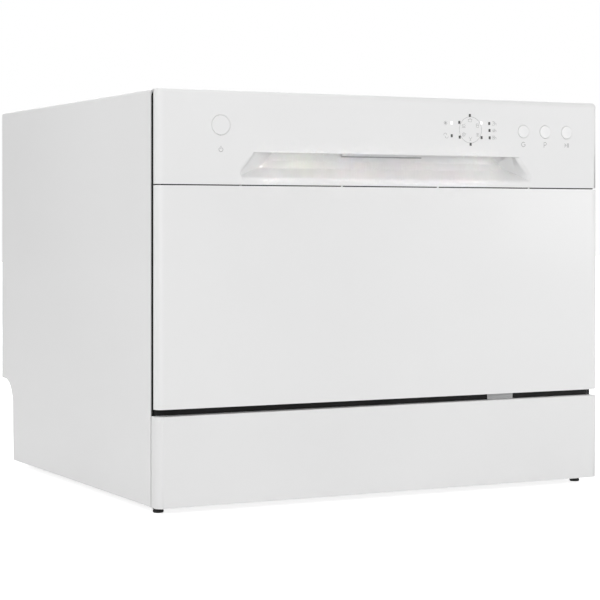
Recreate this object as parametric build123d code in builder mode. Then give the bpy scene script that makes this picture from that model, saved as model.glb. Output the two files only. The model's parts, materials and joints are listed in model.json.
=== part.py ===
from build123d import *
import os

os.makedirs("parts", exist_ok=True)

# Countertop dishwasher. Millimetres, +Z up, the door faces -Y.
# The origin is on the worktop, under the middle of the cabinet.

# Overall size and the levels that show on the front
width = 550.0
depth = 500.0
height = 438.0
foot_height = 7.3
plinth_height = 93.9
door_gap = 7.4
door_panel_height = 229.9
seam = 1.3

# Sheets, walls and clearances
cabinet_sheet = 1.0
tub_sheet = 1.0
liner_sheet = 1.2
panel_wall = 2.0
console_wall = 2.5
tray_wall = 2.5
plinth_wall = 2.2
seat_gap = 0.3
running_gap = 0.05

# Cabinet
cabinet_front = 15.8
wrap_corner = 4.0
front_edge_radius = 7.0
hem_width = 12.0
rear_recess = 45.0
rear_notch_height = 106.0
rear_notch_slant = 5.0
rear_notch_radius = 30.0

# Tub
tub_side_space = 35.0
tub_front = 50.0
tub_rear_space = 45.0
tub_floor = 140.0
tub_top_space = 26.0
ledge_height = 11.0
ledge_width = 16.0
tub_corner = 18.0
tub_lower_corner = 4.0
tub_rear_radius = 3.5
tub_flange_drop = 30.0
gasket_width = 5.5
gasket_thickness = 2.0

# Door and its hinge
door_edge_depth = 10.0
hinge_depth = 9.5
hinge_rise = 4.7
hinge_pin_radius = 3.0
hinge_plate = 2.0
hinge_eye_radius = 5.5
hinge_arm_height = 190.0
liner_side_space = 17.0
liner_top_space = 6.0
liner_foot = 10.4
liner_recess = 4.0
liner_border = 34.0

# Handle recess in the console
grip_half_top = 158.0
grip_half_bottom = 186.0
grip_lip_rise = 34.2
grip_foot_rise = 6.5
grip_crease_rise = 18.5
grip_depth = 27.0
grip_roof = 6.0
grip_end_slope = 0.55
grip_overshoot = 5.0
grip_mouth_radius = 6.0
grip_foot_corner = 5.0
grip_roof_corner = 9.0
lever_pivot_rise = 52.2
latch_cage_drop = 7.0
dish_below_cage = 15.0

# Controls, measured from the middle of the console and from its lower edge
power_x = -203.4
power_rise = 61.7
power_radius = 10.4
small_button_radius = 7.2
small_button_rise = 63.2
delay_x = 172.2
program_x = 201.7
start_x = 231.0
button_gap = 0.3
button_travel = 1.5
program_ring_x = 101.8
board_depth = 16.0
board_thickness = 1.6
spacer_half = 1.2

# Rack and what it carries
rack_side_space = 18.0
rack_front_space = 22.0
rack_rear_space = 14.0
rack_rise = 32.0
rack_height = 110.0
rack_wire = 1.6
wheel_radius = 13.0
wheel_width = 8.0
axle_radius = 3.0
front_wheel_depth = 120.0
rear_wheel_depth = 405.0

# Water system
sump_radius = 70.0
sump_depth = 95.0
post_radius = 9.0
arm_length = 185.0
arm_rise = 10.0
arm_thickness = 8.0
filter_radius = 20.0
filter_x = 42.0
hose_radius = 6.0

# Places that follow from the sizes above
half = width / 2
front = -depth / 2
plinth_top = foot_height + plinth_height
door_bottom = plinth_top + door_gap
seam_level = door_bottom + door_panel_height
console_bottom = seam_level + seam
hinge_level = door_bottom + hinge_rise
lever_pivot_level = console_bottom + lever_pivot_rise
latch_cage_low = lever_pivot_level - latch_cage_drop
tub_half = half - tub_side_space
tub_back = depth - tub_rear_space
tub_ceiling = height - tub_top_space
ledge_top = tub_floor + ledge_height
gasket_front = tub_front - tub_sheet - gasket_thickness
liner_back = gasket_front - seat_gap
liner_front = door_edge_depth + 0.5
liner_half = half - liner_side_space
liner_bottom = door_bottom + liner_foot
liner_top = height - liner_top_space
tray_top = plinth_top + 6.0
tray_half = half - 2 * cabinet_sheet - seat_gap
tray_front = cabinet_front + seat_gap
tray_back = depth - rear_recess
tray_floor = foot_height + tray_wall


def behind(distance):
    # Y of a place this far behind the face of the door
    return front + distance


def upright(distance):
    # A plane that faces the user, this far behind the face of the door
    return Plane.XZ.offset(-behind(distance))


def block(x, d, z, mode=Mode.ADD):
    # A block between two widths, two distances behind the face and two heights
    with Locations(((x[0] + x[1]) / 2, behind((d[0] + d[1]) / 2), (z[0] + z[1]) / 2)):
        Box(x[1] - x[0], d[1] - d[0], z[1] - z[0], mode=mode)


def rod(start, end, radius, mode=Mode.ADD):
    # A round bar between two points
    run = Vector(*end) - Vector(*start)
    with BuildSketch(Plane(origin=start, z_dir=run)) as section:
        Circle(radius)
    extrude(section.sketch, amount=run.length, mode=mode)


def framed(distance, x, z, radius):
    # A rectangle with round corners on a plane that faces the user
    with BuildSketch(upright(distance)) as section:
        with Locations(((x[0] + x[1]) / 2, (z[0] + z[1]) / 2)):
            RectangleRounded(x[1] - x[0], z[1] - z[0], radius)
    return section.sketch


def arched(distance, half_width, bottom, top, radius):
    # The same with only its two upper corners round
    with BuildSketch(upright(distance)) as section:
        with Locations((0, (bottom + top) / 2)):
            Rectangle(2 * half_width, top - bottom)
        fillet(section.vertices().group_by(Axis.Y)[-1], radius)
    return section.sketch


def side_profile(x, points, radius=0):
    # A closed outline of (distance behind the face, height) points, seen from the side
    with BuildSketch(Plane.YZ.offset(x)) as section:
        with BuildLine():
            FilletPolyline([(behind(d), z) for d, z in points], radius=radius, close=True)
        make_face()
    return section.sketch


# Feet: four rubber pads under the base tray
front_foot_inset = 13.0
front_foot_depth = 28.0
rear_foot_inset = 35.0
rear_foot_depth = depth - 70.0
foot_radius = 6.5
foot_taper = 1.0

with BuildPart() as feet:
    foot_places = ((front_foot_inset, front_foot_depth), (rear_foot_inset, rear_foot_depth))
    for inset, distance in foot_places:
        for side in (-1, 1):
            with Locations((side * (half - inset), behind(distance), 0)):
                Cone(
                    foot_radius - foot_taper,
                    foot_radius,
                    foot_height,
                    align=(Align.CENTER, Align.CENTER, Align.MIN),
                )
feet.part.label = "feet"
export_step(feet.part, "parts/feet.step")


# Cabinet wrap: one painted sheet bent over the top and down both sides
with BuildPart() as cabinet_wrap:
    wrap_length = depth - cabinet_front
    extrude(arched(cabinet_front, half, foot_height, height, wrap_corner), amount=-wrap_length)
    inside = arched(
        cabinet_front, half - cabinet_sheet, 0, height - cabinet_sheet, wrap_corner - cabinet_sheet
    )
    extrude(inside, amount=-wrap_length, mode=Mode.SUBTRACT)
    # The front edge is folded back on itself
    hem = arched(
        cabinet_front,
        half - cabinet_sheet,
        foot_height,
        height - cabinet_sheet,
        wrap_corner - cabinet_sheet,
    )
    extrude(hem, amount=-hem_width)
    hem_space = arched(
        cabinet_front,
        half - 2 * cabinet_sheet,
        0,
        height - 2 * cabinet_sheet,
        wrap_corner - 2 * cabinet_sheet,
    )
    extrude(hem_space, amount=-hem_width, mode=Mode.SUBTRACT)
    # Both sides are cut away at the lower rear corner, where the hoses come out
    notch_points = [
        (depth - rear_recess, -foot_height),
        (depth - rear_recess + rear_notch_slant, rear_notch_height),
        (depth + rear_recess, rear_notch_height),
        (depth + rear_recess, -foot_height),
    ]
    with BuildSketch(Plane.YZ) as notch:
        with BuildLine():
            Polyline([(behind(d), z) for d, z in notch_points], close=True)
        make_face()
        corner = notch.vertices().sort_by_distance((behind(notch_points[1][0]), notch_points[1][1]))[0]
        fillet(corner, rear_notch_radius)
    extrude(notch.sketch, amount=width, both=True, mode=Mode.SUBTRACT)
cabinet_wrap.part.label = "cabinet_wrap"
export_step(cabinet_wrap.part, "parts/cabinet_wrap.step")


# Rear panel: a pressed sheet inside the wrap, turned forward over the hose recess
panel_rib_depth = 2.5
panel_rib_width = 14.0
rear_panel_inset = 1.5

with BuildPart() as rear_panel:
    panel_half = half - cabinet_sheet - seat_gap
    panel_top = height - cabinet_sheet - seat_gap
    panel_bottom = tray_top + seat_gap
    panel_back = depth - rear_panel_inset
    extrude(
        arched(panel_back - cabinet_sheet, panel_half, panel_bottom, panel_top, wrap_corner - cabinet_sheet),
        amount=-cabinet_sheet,
    )
    # Shelf over the hose recess
    block(
        (-panel_half, panel_half),
        (tray_back - tray_wall, panel_back),
        (panel_bottom, panel_bottom + cabinet_sheet),
    )
    for place in (-0.5, 0, 0.5):
        rib_x = place * panel_half
        rib = framed(
            panel_back - panel_rib_depth - cabinet_sheet,
            (rib_x - panel_rib_width / 2, rib_x + panel_rib_width / 2),
            (panel_bottom + 40, panel_top - 40),
            panel_rib_width / 2 - 0.1,
        )
        extrude(rib, amount=-panel_rib_depth)
rear_panel.part.label = "rear_panel"
export_step(rear_panel.part, "parts/rear_panel.step")


# Screws that hold the rear panel
screw_radius = 3.5
screw_head = 1.4

with BuildPart() as rear_screws:
    with BuildSketch(upright(panel_back)) as heads:
        screw_half = panel_half - 12
        screw_low = panel_bottom + 18
        screw_high = panel_top - 12
        with Locations(
            (-screw_half, screw_low),
            (screw_half, screw_low),
            (-screw_half, screw_high),
            (0, screw_high),
            (screw_half, screw_high),
            (0, screw_low),
        ):
            Circle(screw_radius)
    extrude(heads.sketch, amount=-screw_head)
rear_screws.part.label = "rear_screws"
export_step(rear_screws.part, "parts/rear_screws.step")


# Plinth: the kick panel under the door, with rounded ends turned back to the cabinet
with BuildPart() as plinth:
    plinth_depth = cabinet_front - seat_gap
    with BuildSketch(Plane.XY.offset(foot_height)) as plinth_plan:
        with Locations((0, behind(plinth_depth / 2))):
            Rectangle(width, plinth_depth)
        fillet(plinth_plan.vertices().group_by(Axis.Y)[0], front_edge_radius)
    extrude(amount=plinth_height)
    offset(amount=-plinth_wall, openings=plinth.faces().sort_by(Axis.Y)[-1])
    # Upright ribs stiffen the long face
    for place in (-0.75, -0.25, 0.25, 0.75):
        block(
            (place * half - 1, place * half + 1),
            (plinth_wall - 0.5, plinth_depth - seat_gap),
            (foot_height + plinth_wall - 0.5, plinth_top - plinth_wall + 0.5),
        )
plinth.part.label = "plinth"
export_step(plinth.part, "parts/plinth.step")


# Base tray: the moulded bottom that carries the tub, the pumps and the softener
post_size = 22.0
post_side = tub_half - 10.0
post_front = 62.0
post_rear = tray_back - 50.0
stub_hole_gap = 0.2
inlet_x = -150.0
inlet_z = 60.0
inlet_radius = 13.2
inlet_neck_radius = 11.6
drain_x = -74.0
drain_z = 58.0
drain_radius = 9.5
drain_neck_radius = 8.8
gland_x = 170.0
gland_z = 45.0
gland_radius = 8.0

with BuildPart() as base_tray:
    with BuildSketch(Plane.XY.offset(foot_height)):
        with Locations((0, behind((tray_front + tray_back) / 2))):
            RectangleRounded(2 * tray_half, tray_back - tray_front, 5)
    extrude(amount=tray_top - foot_height)
    offset(amount=-tray_wall, openings=base_tray.faces().sort_by(Axis.Z)[-1])
    # Four hollow posts stand under the tub
    post_top = tub_floor - tub_sheet - seat_gap
    with BuildSketch(Plane.XY.offset(tray_floor - 0.5)):
        for distance in (post_front, post_rear):
            for side in (-1, 1):
                with Locations((side * post_side, behind(distance))):
                    RectangleRounded(post_size, post_size, 4)
                    Rectangle(post_size - 2 * tray_wall, post_size - 2 * tray_wall, mode=Mode.SUBTRACT)
    extrude(amount=post_top - tray_floor + 0.5)
    # Floor ribs
    rib_height = 7.0
    rib_places = (0.2, 0.88)
    for place in rib_places:
        distance = tray_front + place * (tray_back - tray_front)
        block(
            (-tray_half + tray_wall - 0.5, tray_half - tray_wall + 0.5),
            (distance - 1, distance + 1),
            (tray_floor - 0.5, tray_floor + rib_height),
        )
    # Holes in the rear wall for the inlet, the drain and the mains gland
    with BuildSketch(upright(tray_back + 1)) as stub_holes:
        with Locations((inlet_x, inlet_z)):
            Circle(inlet_neck_radius + stub_hole_gap)
        with Locations((drain_x, drain_z)):
            Circle(drain_neck_radius + stub_hole_gap)
        with Locations((gland_x, gland_z)):
            Circle(gland_radius + stub_hole_gap)
    extrude(stub_holes.sketch, amount=tray_wall + 2, mode=Mode.SUBTRACT)
base_tray.part.label = "base_tray"
export_step(base_tray.part, "parts/base_tray.step")


# Clips between the plinth and the base tray
clip_width = 34.0
clip_sheet = 1.4
clip_leg = 9.0
clip_places = (-151.0, 151.0)

with BuildPart() as plinth_clips:
    clip_back = tray_front + tray_wall + clip_sheet
    for place in clip_places:
        clip_x = (place - clip_width / 2, place + clip_width / 2)
        block(clip_x, (tray_front, clip_back), (tray_top, tray_top + clip_sheet))
        block(clip_x, (tray_front + tray_wall, clip_back), (tray_top - clip_leg, tray_top + clip_sheet / 2))
plinth_clips.part.label = "plinth_clips"
export_step(plinth_clips.part, "parts/plinth_clips.step")


# Tub: the drawn steel wash chamber, stepped out above two ledges that the rack wheels roll on
def tub_outline(distance, grow):
    with BuildSketch(upright(distance)) as section:
        with BuildLine():
            low_half = tub_half - ledge_width
            Polyline(
                [
                    (-low_half, tub_floor),
                    (low_half, tub_floor),
                    (low_half, ledge_top),
                    (tub_half, ledge_top),
                    (tub_half, tub_ceiling),
                    (-tub_half, tub_ceiling),
                    (-tub_half, ledge_top),
                    (-low_half, ledge_top),
                ],
                close=True,
            )
        make_face()
        fillet(section.vertices().group_by(Axis.Y)[-1], tub_corner)
        fillet(section.vertices().group_by(Axis.Y)[0], tub_lower_corner)
        if grow:
            offset(amount=grow, kind=Kind.INTERSECTION)
    return section.sketch


# The hollow of the tub, cut out of the drawn box below
with BuildPart() as tub_hollow:
    extrude(tub_outline(tub_front - 2 * tub_sheet, 0), amount=-(tub_back - tub_front + 2 * tub_sheet))
    fillet(tub_hollow.faces().sort_by(Axis.Y)[-1].edges(), tub_rear_radius)

with BuildPart() as tub:
    extrude(tub_outline(tub_front - tub_sheet, tub_sheet), amount=-(tub_back - tub_front + 2 * tub_sheet))
    fillet(tub.faces().sort_by(Axis.Y)[-1].edges(), tub_rear_radius + tub_sheet)
    flange_half = half - 2 * cabinet_sheet - 0.5
    flange_bottom = tub_floor - tub_flange_drop
    flange_top = height - 2 * cabinet_sheet
    flange = framed(tub_front - tub_sheet, (-flange_half, flange_half), (flange_bottom, flange_top), 3)
    extrude(flange, amount=-tub_sheet)
    add(tub_hollow.part, mode=Mode.SUBTRACT)
    # Sump opening, and the notch that the latch hook passes through
    with BuildSketch(Plane.XY.offset(tub_floor + 1)) as sump_opening:
        Circle(sump_radius)
    extrude(sump_opening.sketch, amount=-(tub_sheet + 2), mode=Mode.SUBTRACT)
    latch_notch_half = 10.0
    latch_notch_bottom = tub_ceiling + 5.8
    block(
        (-latch_notch_half, latch_notch_half),
        (tub_front - 2, tub_front + 0.0),
        (latch_notch_bottom, flange_top + 1),
        mode=Mode.SUBTRACT,
    )
    # Openings for the float, the salt cap and the water inlet
    float_x = -190.0
    float_depth = 100.0
    float_stem = 6.0
    salt_x = -130.0
    salt_depth = 350.0
    salt_radius = 24.0
    with BuildSketch(Plane.XY.offset(tub_floor + 1)) as floor_holes:
        with Locations((float_x, behind(float_depth))):
            Circle(float_stem + 0.5)
        with Locations((salt_x, behind(salt_depth))):
            Circle(salt_radius + 1.0)
    extrude(floor_holes.sketch, amount=-(tub_sheet + 2), mode=Mode.SUBTRACT)
tub.part.label = "tub"
export_step(tub.part, "parts/tub.step")


# Gasket: the rubber ring round the mouth of the tub
with BuildPart() as tub_gasket:
    gasket_inner = 1.0
    outer_edge = gasket_inner + gasket_width
    with BuildSketch(upright(tub_front - tub_sheet)) as ring:
        with Locations((0, (tub_floor + tub_ceiling) / 2)):
            RectangleRounded(
                2 * (tub_half + outer_edge), tub_ceiling - tub_floor + 2 * outer_edge, tub_corner + outer_edge
            )
            RectangleRounded(
                2 * (tub_half + gasket_inner),
                tub_ceiling - tub_floor + 2 * gasket_inner,
                tub_corner + gasket_inner,
                mode=Mode.SUBTRACT,
            )
    extrude(amount=gasket_thickness)
tub_gasket.part.label = "tub_gasket"
export_step(tub_gasket.part, "parts/tub_gasket.step")


# Striker: a bent spring steel clip on top of the tub, whose lip holds the latch hook
striker_sheet = 1.2
striker_half = 9.0
beak_front = tub_front + 6.0
striker_top = tub_ceiling + tub_sheet
lip_top = striker_top + 10.2

with BuildPart() as latch_striker:
    striker_profile = [
        (beak_front - seat_gap - striker_sheet, striker_top),
        (beak_front + 34, striker_top),
        (beak_front + 34, striker_top + striker_sheet),
        (beak_front - seat_gap, striker_top + striker_sheet),
        (beak_front - seat_gap, lip_top),
        (beak_front - seat_gap - striker_sheet, lip_top),
    ]
    with BuildSketch(Plane.YZ):
        with BuildLine():
            Polyline([(behind(d), z) for d, z in striker_profile], close=True)
        make_face()
    extrude(amount=striker_half, both=True)
    for side in (-1, 1):
        rod((side * 5, behind(beak_front + 26), striker_top + 1),
            (side * 5, behind(beak_front + 26), striker_top + striker_sheet + 1.2), 2.5)
latch_striker.part.label = "latch_striker"
export_step(latch_striker.part, "parts/latch_striker.step")


# Hinge brackets: a steel plate each side, from the base tray forward to the door's axis
arm_inner = liner_half + seat_gap
arm_outer = arm_inner + hinge_plate
bracket_inner = arm_outer + 0.7
bracket_outer = bracket_inner + hinge_plate

with BuildPart() as hinge_brackets:
    for side in (-1, 1):
        bracket_low = tray_floor + 20
        bracket_back = tub_front - tub_sheet - 2
        bracket_points = [
            (hinge_depth, hinge_level - hinge_eye_radius + 0.5),
            (tray_front + tray_wall + 3, hinge_level - hinge_eye_radius + 0.5),
            (tray_front + tray_wall + 3, bracket_low),
            (bracket_back, bracket_low),
            (bracket_back, hinge_level + hinge_eye_radius - 0.5),
            (hinge_depth, hinge_level + hinge_eye_radius - 0.5),
        ]
        with BuildSketch(Plane.YZ.offset(side * bracket_inner)) as bracket_side:
            with BuildLine():
                Polyline([(behind(d), z) for d, z in bracket_points], close=True)
            make_face()
            with Locations((behind(hinge_depth), hinge_level)):
                Circle(hinge_eye_radius)
            with Locations((behind(bracket_back - 12), bracket_low + 30)):
                Circle(4, mode=Mode.SUBTRACT)
        extrude(bracket_side.sketch, amount=side * hinge_plate)
        # Foot, turned out to the side wall of the tray
        foot_x = sorted((side * (bracket_inner + 0.5), side * (tray_half - tray_wall)))
        block(foot_x, (bracket_back - hinge_plate, bracket_back), (bracket_low, tray_top - 12))
        # Fixed pin, which reaches inwards through the eye of the door's arm
        rod((side * (bracket_inner + 0.5), behind(hinge_depth), hinge_level),
            (side * arm_inner, behind(hinge_depth), hinge_level), hinge_pin_radius)
hinge_brackets.part.label = "hinge_brackets"
export_step(hinge_brackets.part, "parts/hinge_brackets.step")


# Hinge springs: torsion springs on the same axis, outside the brackets
spring_wire = 1.1
spring_radius = 4.6
spring_turns = 3

with BuildPart() as hinge_springs:
    for side in (-1, 1):
        spring_start = bracket_outer + seat_gap
        spring_end = spring_start + spring_turns * (2 * spring_wire + 0.4)
        plane = Plane(
            origin=(side * spring_start, behind(hinge_depth), hinge_level),
            x_dir=(0, 1, 0),
            z_dir=(side, 0, 0),
        )
        with BuildSketch(plane) as sleeve:
            Circle(spring_radius + spring_wire)
            Circle(spring_radius - spring_wire, mode=Mode.SUBTRACT)
        extrude(sleeve.sketch, amount=spring_end - spring_start)
hinge_springs.part.label = "hinge_springs"
export_step(hinge_springs.part, "parts/hinge_springs.step")


# Door panel: the outer skin, turned back along its edges
notch_inner = arm_inner - 2.3
notch_outer = spring_end + 1.0

with BuildPart() as door_panel:
    with BuildSketch(Plane.XY.offset(door_bottom)) as panel_plan:
        with Locations((0, behind(door_edge_depth / 2))):
            Rectangle(width, door_edge_depth)
        fillet(panel_plan.vertices().group_by(Axis.Y)[0], front_edge_radius)
    extrude(amount=door_panel_height)
    offset(amount=-panel_wall, openings=door_panel.faces().sort_by(Axis.Y)[-1])
    for side in (-1, 1):
        notch_x = sorted((side * notch_inner, side * notch_outer))
        block(
            notch_x,
            (panel_wall, door_edge_depth + 1),
            (door_bottom - 1, door_bottom + panel_wall + 0.5),
            mode=Mode.SUBTRACT,
        )
    # Two pressed stiffeners behind the skin
    for place in (-0.33, 0.33):
        stiffener = place * width
        block(
            (stiffener - 12, stiffener + 12),
            (panel_wall - 0.5, panel_wall + 3),
            (door_bottom + 20, seam_level - 20),
        )
door_panel.part.label = "door_panel"
export_step(door_panel.part, "parts/door_panel.step")


# Door liner: the drawn inner pan, dished inside its border, that closes the tub
dispenser_left = -178.0
dispenser_right = 37.0
dispenser_low = door_bottom + 98.0
dispenser_height = 112.0
dispenser_high = dispenser_low + dispenser_height
dish_depth = liner_back - liner_recess

with BuildPart() as door_liner:
    with BuildSketch(upright(liner_back)):
        with Locations((0, (liner_bottom + liner_top) / 2)):
            RectangleRounded(2 * liner_half, liner_top - liner_bottom, 6)
    extrude(amount=liner_back - liner_front)
    fillet(door_liner.faces().sort_by(Axis.Y)[-1].edges(), 3)
    offset(amount=-liner_sheet, openings=door_liner.faces().sort_by(Axis.Y)[0])
    dish_x = (-liner_half + liner_border, liner_half - liner_border)
    dish_z = (liner_bottom + liner_border, latch_cage_low - dish_below_cage)
    # The dish: a boss on the door side, then the hollow on the tub side
    extrude(
        framed(
            liner_back - liner_sheet,
            (dish_x[0] - liner_sheet, dish_x[1] + liner_sheet),
            (dish_z[0] - liner_sheet, dish_z[1] + liner_sheet),
            16,
        ),
        amount=liner_recess,
    )
    extrude(framed(liner_back, dish_x, dish_z, 15), amount=liner_recess, taper=20, mode=Mode.SUBTRACT)
    # Openings for the dispenser and the latch hook
    extrude(
        framed(
            liner_back,
            (dispenser_left + 8, dispenser_right - 8),
            (dispenser_low + 8, dispenser_high - 8),
            4,
        ),
        amount=liner_back - liner_front - 8,
        mode=Mode.SUBTRACT,
    )
    block(
        (-latch_notch_half, latch_notch_half),
        (liner_back - 9, liner_back + 1),
        (tub_ceiling - 3, liner_top + 1),
        mode=Mode.SUBTRACT,
    )
door_liner.part.label = "door_liner"
export_step(door_liner.part, "parts/door_liner.step")


# Seal along the foot of the door liner
with BuildPart() as door_bottom_seal:
    seal_profile = side_profile(
        0,
        [
            (liner_front + 14, liner_bottom - 0.1),
            (liner_back - 2, liner_bottom - 0.1),
            (liner_back - 1, liner_bottom - 2.6),
            (liner_back - 7, liner_bottom - 2.2),
            (liner_front + 14, liner_bottom - 2.2),
        ],
        0.4,
    )
    extrude(seal_profile, amount=tub_half, both=True)
door_bottom_seal.part.label = "door_bottom_seal"
export_step(door_bottom_seal.part, "parts/door_bottom_seal.step")


# Hinge arms: a steel strap up each side of the liner, with an eye on the axis
with BuildPart() as hinge_arms:
    for side in (-1, 1):
        arm_front = liner_front + 2
        arm_back = liner_front + 22
        arm_points = [
            (hinge_depth - 1, hinge_level + 1),
            (hinge_depth + hinge_eye_radius, hinge_level - 1),
            (arm_back, liner_bottom + 12),
            (arm_back, hinge_level + hinge_arm_height),
            (arm_front, hinge_level + hinge_arm_height),
            (arm_front, liner_bottom + 14),
            (hinge_depth - hinge_eye_radius, hinge_level + 1),
        ]
        with BuildSketch(Plane.YZ.offset(side * arm_inner)) as arm_side:
            with BuildLine():
                Polyline([(behind(d), z) for d, z in arm_points], close=True)
            make_face()
            with Locations((behind(hinge_depth), hinge_level)):
                Circle(hinge_eye_radius)
                Circle(hinge_pin_radius + running_gap, mode=Mode.SUBTRACT)
            for rise in (40, 100, 160):
                with Locations((behind((arm_front + arm_back) / 2), hinge_level + rise)):
                    Circle(3, mode=Mode.SUBTRACT)
        extrude(arm_side.sketch, amount=side * hinge_plate)
hinge_arms.part.label = "hinge_arms"
export_step(hinge_arms.part, "parts/hinge_arms.step")


# Console: the control panel across the top of the door, with the scooped handle recess
def grip_outline(distance, inset, grow):
    # One level of the recess, seen from the front: it flares downwards
    foot = console_bottom + grip_foot_rise
    roof = console_bottom + grip_lip_rise + grip_roof
    with BuildSketch(upright(distance)) as outline:
        with BuildLine():
            Polyline(
                [
                    (-grip_half_bottom + inset, foot),
                    (grip_half_bottom - inset, foot),
                    (grip_half_top - inset, roof),
                    (-grip_half_top + inset, roof),
                ],
                close=True,
            )
        make_face()
        fillet(outline.vertices().group_by(Axis.Y)[0], grip_foot_corner)
        fillet(outline.vertices().group_by(Axis.Y)[-1], grip_roof_corner)
        if grow:
            offset(amount=grow)
    return outline.sketch


def grip_space(grow):
    # The recess: an outline whose ends slope inwards, cut by a side profile
    lip = console_bottom + grip_lip_rise
    foot = console_bottom + grip_foot_rise
    crease = console_bottom + grip_crease_rise
    roof = lip + grip_roof
    reach = grip_depth + 12
    with BuildPart() as outline_body:
        add(grip_outline(-grip_overshoot, -grip_end_slope * grip_overshoot, grow))
        add(grip_outline(reach, grip_end_slope * reach, grow))
        loft(ruled=True)
    with BuildPart() as profile_body:
        with BuildSketch(Plane.YZ) as profile:
            with BuildLine():
                Polyline(
                    [
                        (behind(-6), foot),
                        (behind(0), foot),
                        (behind(grip_depth - 6), crease),
                        (behind(grip_depth), crease + 8),
                        (behind(grip_depth), roof),
                        (behind(11), roof),
                        (behind(6), lip),
                        (behind(-6), lip),
                    ],
                    close=True,
                )
            make_face()
            corners = profile.vertices().filter_by(lambda v: v.X > behind(5))
            fillet(corners, 2)
            if grow:
                offset(amount=grow)
        extrude(profile.sketch, amount=width, both=True)
    return outline_body.part & profile_body.part


with BuildPart() as console:
    extrude(
        arched(door_edge_depth, half, console_bottom, height, wrap_corner),
        amount=door_edge_depth,
    )
    front_face = console.faces().sort_by(Axis.Y)[0]
    upright_edges = front_face.edges().filter_by(Axis.Z)
    fillet(upright_edges, front_edge_radius)
    offset(amount=-console_wall, openings=console.faces().sort_by(Axis.Y)[-1])
    # The recess is a pocket with its own wall
    pocket_wall = 2.0
    pocket = grip_space(pocket_wall)
    add(pocket)
    block((-width, width), (-50, 0), (0, 2 * height), mode=Mode.SUBTRACT)
    add(grip_space(0), mode=Mode.SUBTRACT)
    # The mouth of the recess is rounded along its foot and its two ends, and sharp at the lip
    mouth_edges = [
        edge
        for edge in console.edges()
        if abs(edge.center().Y - front) < 0.01
        and abs(edge.center().X) < grip_half_bottom + 5
        and console_bottom + 1 < edge.center().Z < console_bottom + grip_lip_rise - 1
    ]
    fillet(mouth_edges, grip_mouth_radius)
    # Slots in the roof of the recess for the two arms of the handle lever
    lever_arm_x = 38.0
    lever_arm_width = 5.0
    lever_bar_depth = 21.0
    for side in (-1, 1):
        slot_x = sorted((side * (lever_arm_x - 4), side * (lever_arm_x + 4)))
        block(
            slot_x,
            (lever_bar_depth - 7, grip_depth + pocket_wall + 1),
            (console_bottom + grip_lip_rise + 2, console_bottom + grip_lip_rise + grip_roof + 4),
            mode=Mode.SUBTRACT,
        )
    # Button holes with guide sleeves behind them
    button_row = console_bottom + small_button_rise
    power_row = console_bottom + power_rise
    button_places = [
        (power_x, power_row, power_radius),
        (delay_x, button_row, small_button_radius),
        (program_x, button_row, small_button_radius),
        (start_x, button_row, small_button_radius),
    ]
    sleeve_wall = 1.5
    sleeve_end = 8.0
    for x, z, radius in button_places:
        rod((x, behind(console_wall - 0.5), z), (x, behind(sleeve_end), z), radius + button_gap + sleeve_wall)
        rod((x, behind(-1), z), (x, behind(sleeve_end + 1), z), radius + button_gap, mode=Mode.SUBTRACT)
    # Screw bosses that carry the control board
    board_left = 60.0
    board_right = half - 24.0
    board_low = console_bottom + grip_lip_rise + grip_roof + pocket_wall + 3
    board_high = height - 9.0
    boss_inset = 5.0
    for x in (board_left + boss_inset, board_right - boss_inset):
        for z in (board_low + boss_inset, board_high - boss_inset):
            rod((x, behind(console_wall - 0.5), z), (x, behind(board_depth), z), 3)
    # Spacer tabs that stand on the top of the door panel
    for x in (-180, -60, 60, 180):
        block(
            (x - spacer_half, x + spacer_half),
            (1, door_edge_depth - 3),
            (seam_level, console_bottom + 0.5),
        )
    # Windows for the indicator lights
    window_width = 2.0
    window_height = 3.2
    indicator_places = [
        (program_ring_x - 0.8, 79.5),
        (program_ring_x - 14.6, 71.5),
        (program_ring_x + 14.2, 71.5),
        (program_ring_x - 14.0, 55.2),
        (program_ring_x + 14.6, 55.2),
        (program_ring_x + 0.2, 47.5),
        (126.5, 71.2),
        (126.9, 63.4),
        (127.1, 55.2),
        (77.1, 70.7),
        (77.4, 56.5),
    ]
    for x, rise in indicator_places:
        z = console_bottom + rise
        block(
            (x - window_width / 2, x + window_width / 2),
            (-1, console_wall + 1),
            (z - window_height / 2, z + window_height / 2),
            mode=Mode.SUBTRACT,
        )
console.part.label = "console"
export_step(console.part, "parts/console.step")


# Light pipes from the board's lamps to the windows of the console
with BuildPart() as indicator_windows:
    window_gap = 0.05
    for x, rise in indicator_places:
        z = console_bottom + rise
        block(
            (x - window_width / 2 + window_gap, x + window_width / 2 - window_gap),
            (0.1, board_depth - 1),
            (z - window_height / 2 + window_gap, z + window_height / 2 - window_gap),
        )
indicator_windows.part.label = "indicator_windows"
export_step(indicator_windows.part, "parts/indicator_windows.step")


# Control board with its lamps, key switches and relays
with BuildPart() as control_board:
    block((board_left, board_right), (board_depth, board_depth + board_thickness), (board_low, board_high))
    key_front = sleeve_end + 6
    for x in (delay_x, program_x, start_x):
        block((x - 3, x + 3), (key_front, board_depth + 0.5), (button_row - 3, button_row + 3))
    for x, rise in indicator_places:
        z = console_bottom + rise
        block((x - 1.5, x + 1.5), (board_depth - 1, board_depth + 0.5), (z - 1.5, z + 1.5))
    relay_back = board_depth + board_thickness + 14
    for place in (0, 1, 2):
        x = board_left + 26 + 24 * place
        block(
            (x - 8, x + 8),
            (board_depth + board_thickness - 0.5, relay_back),
            (board_low + 8, board_low + 28),
        )
control_board.part.label = "control_board"
export_step(control_board.part, "parts/control_board.step")


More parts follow.
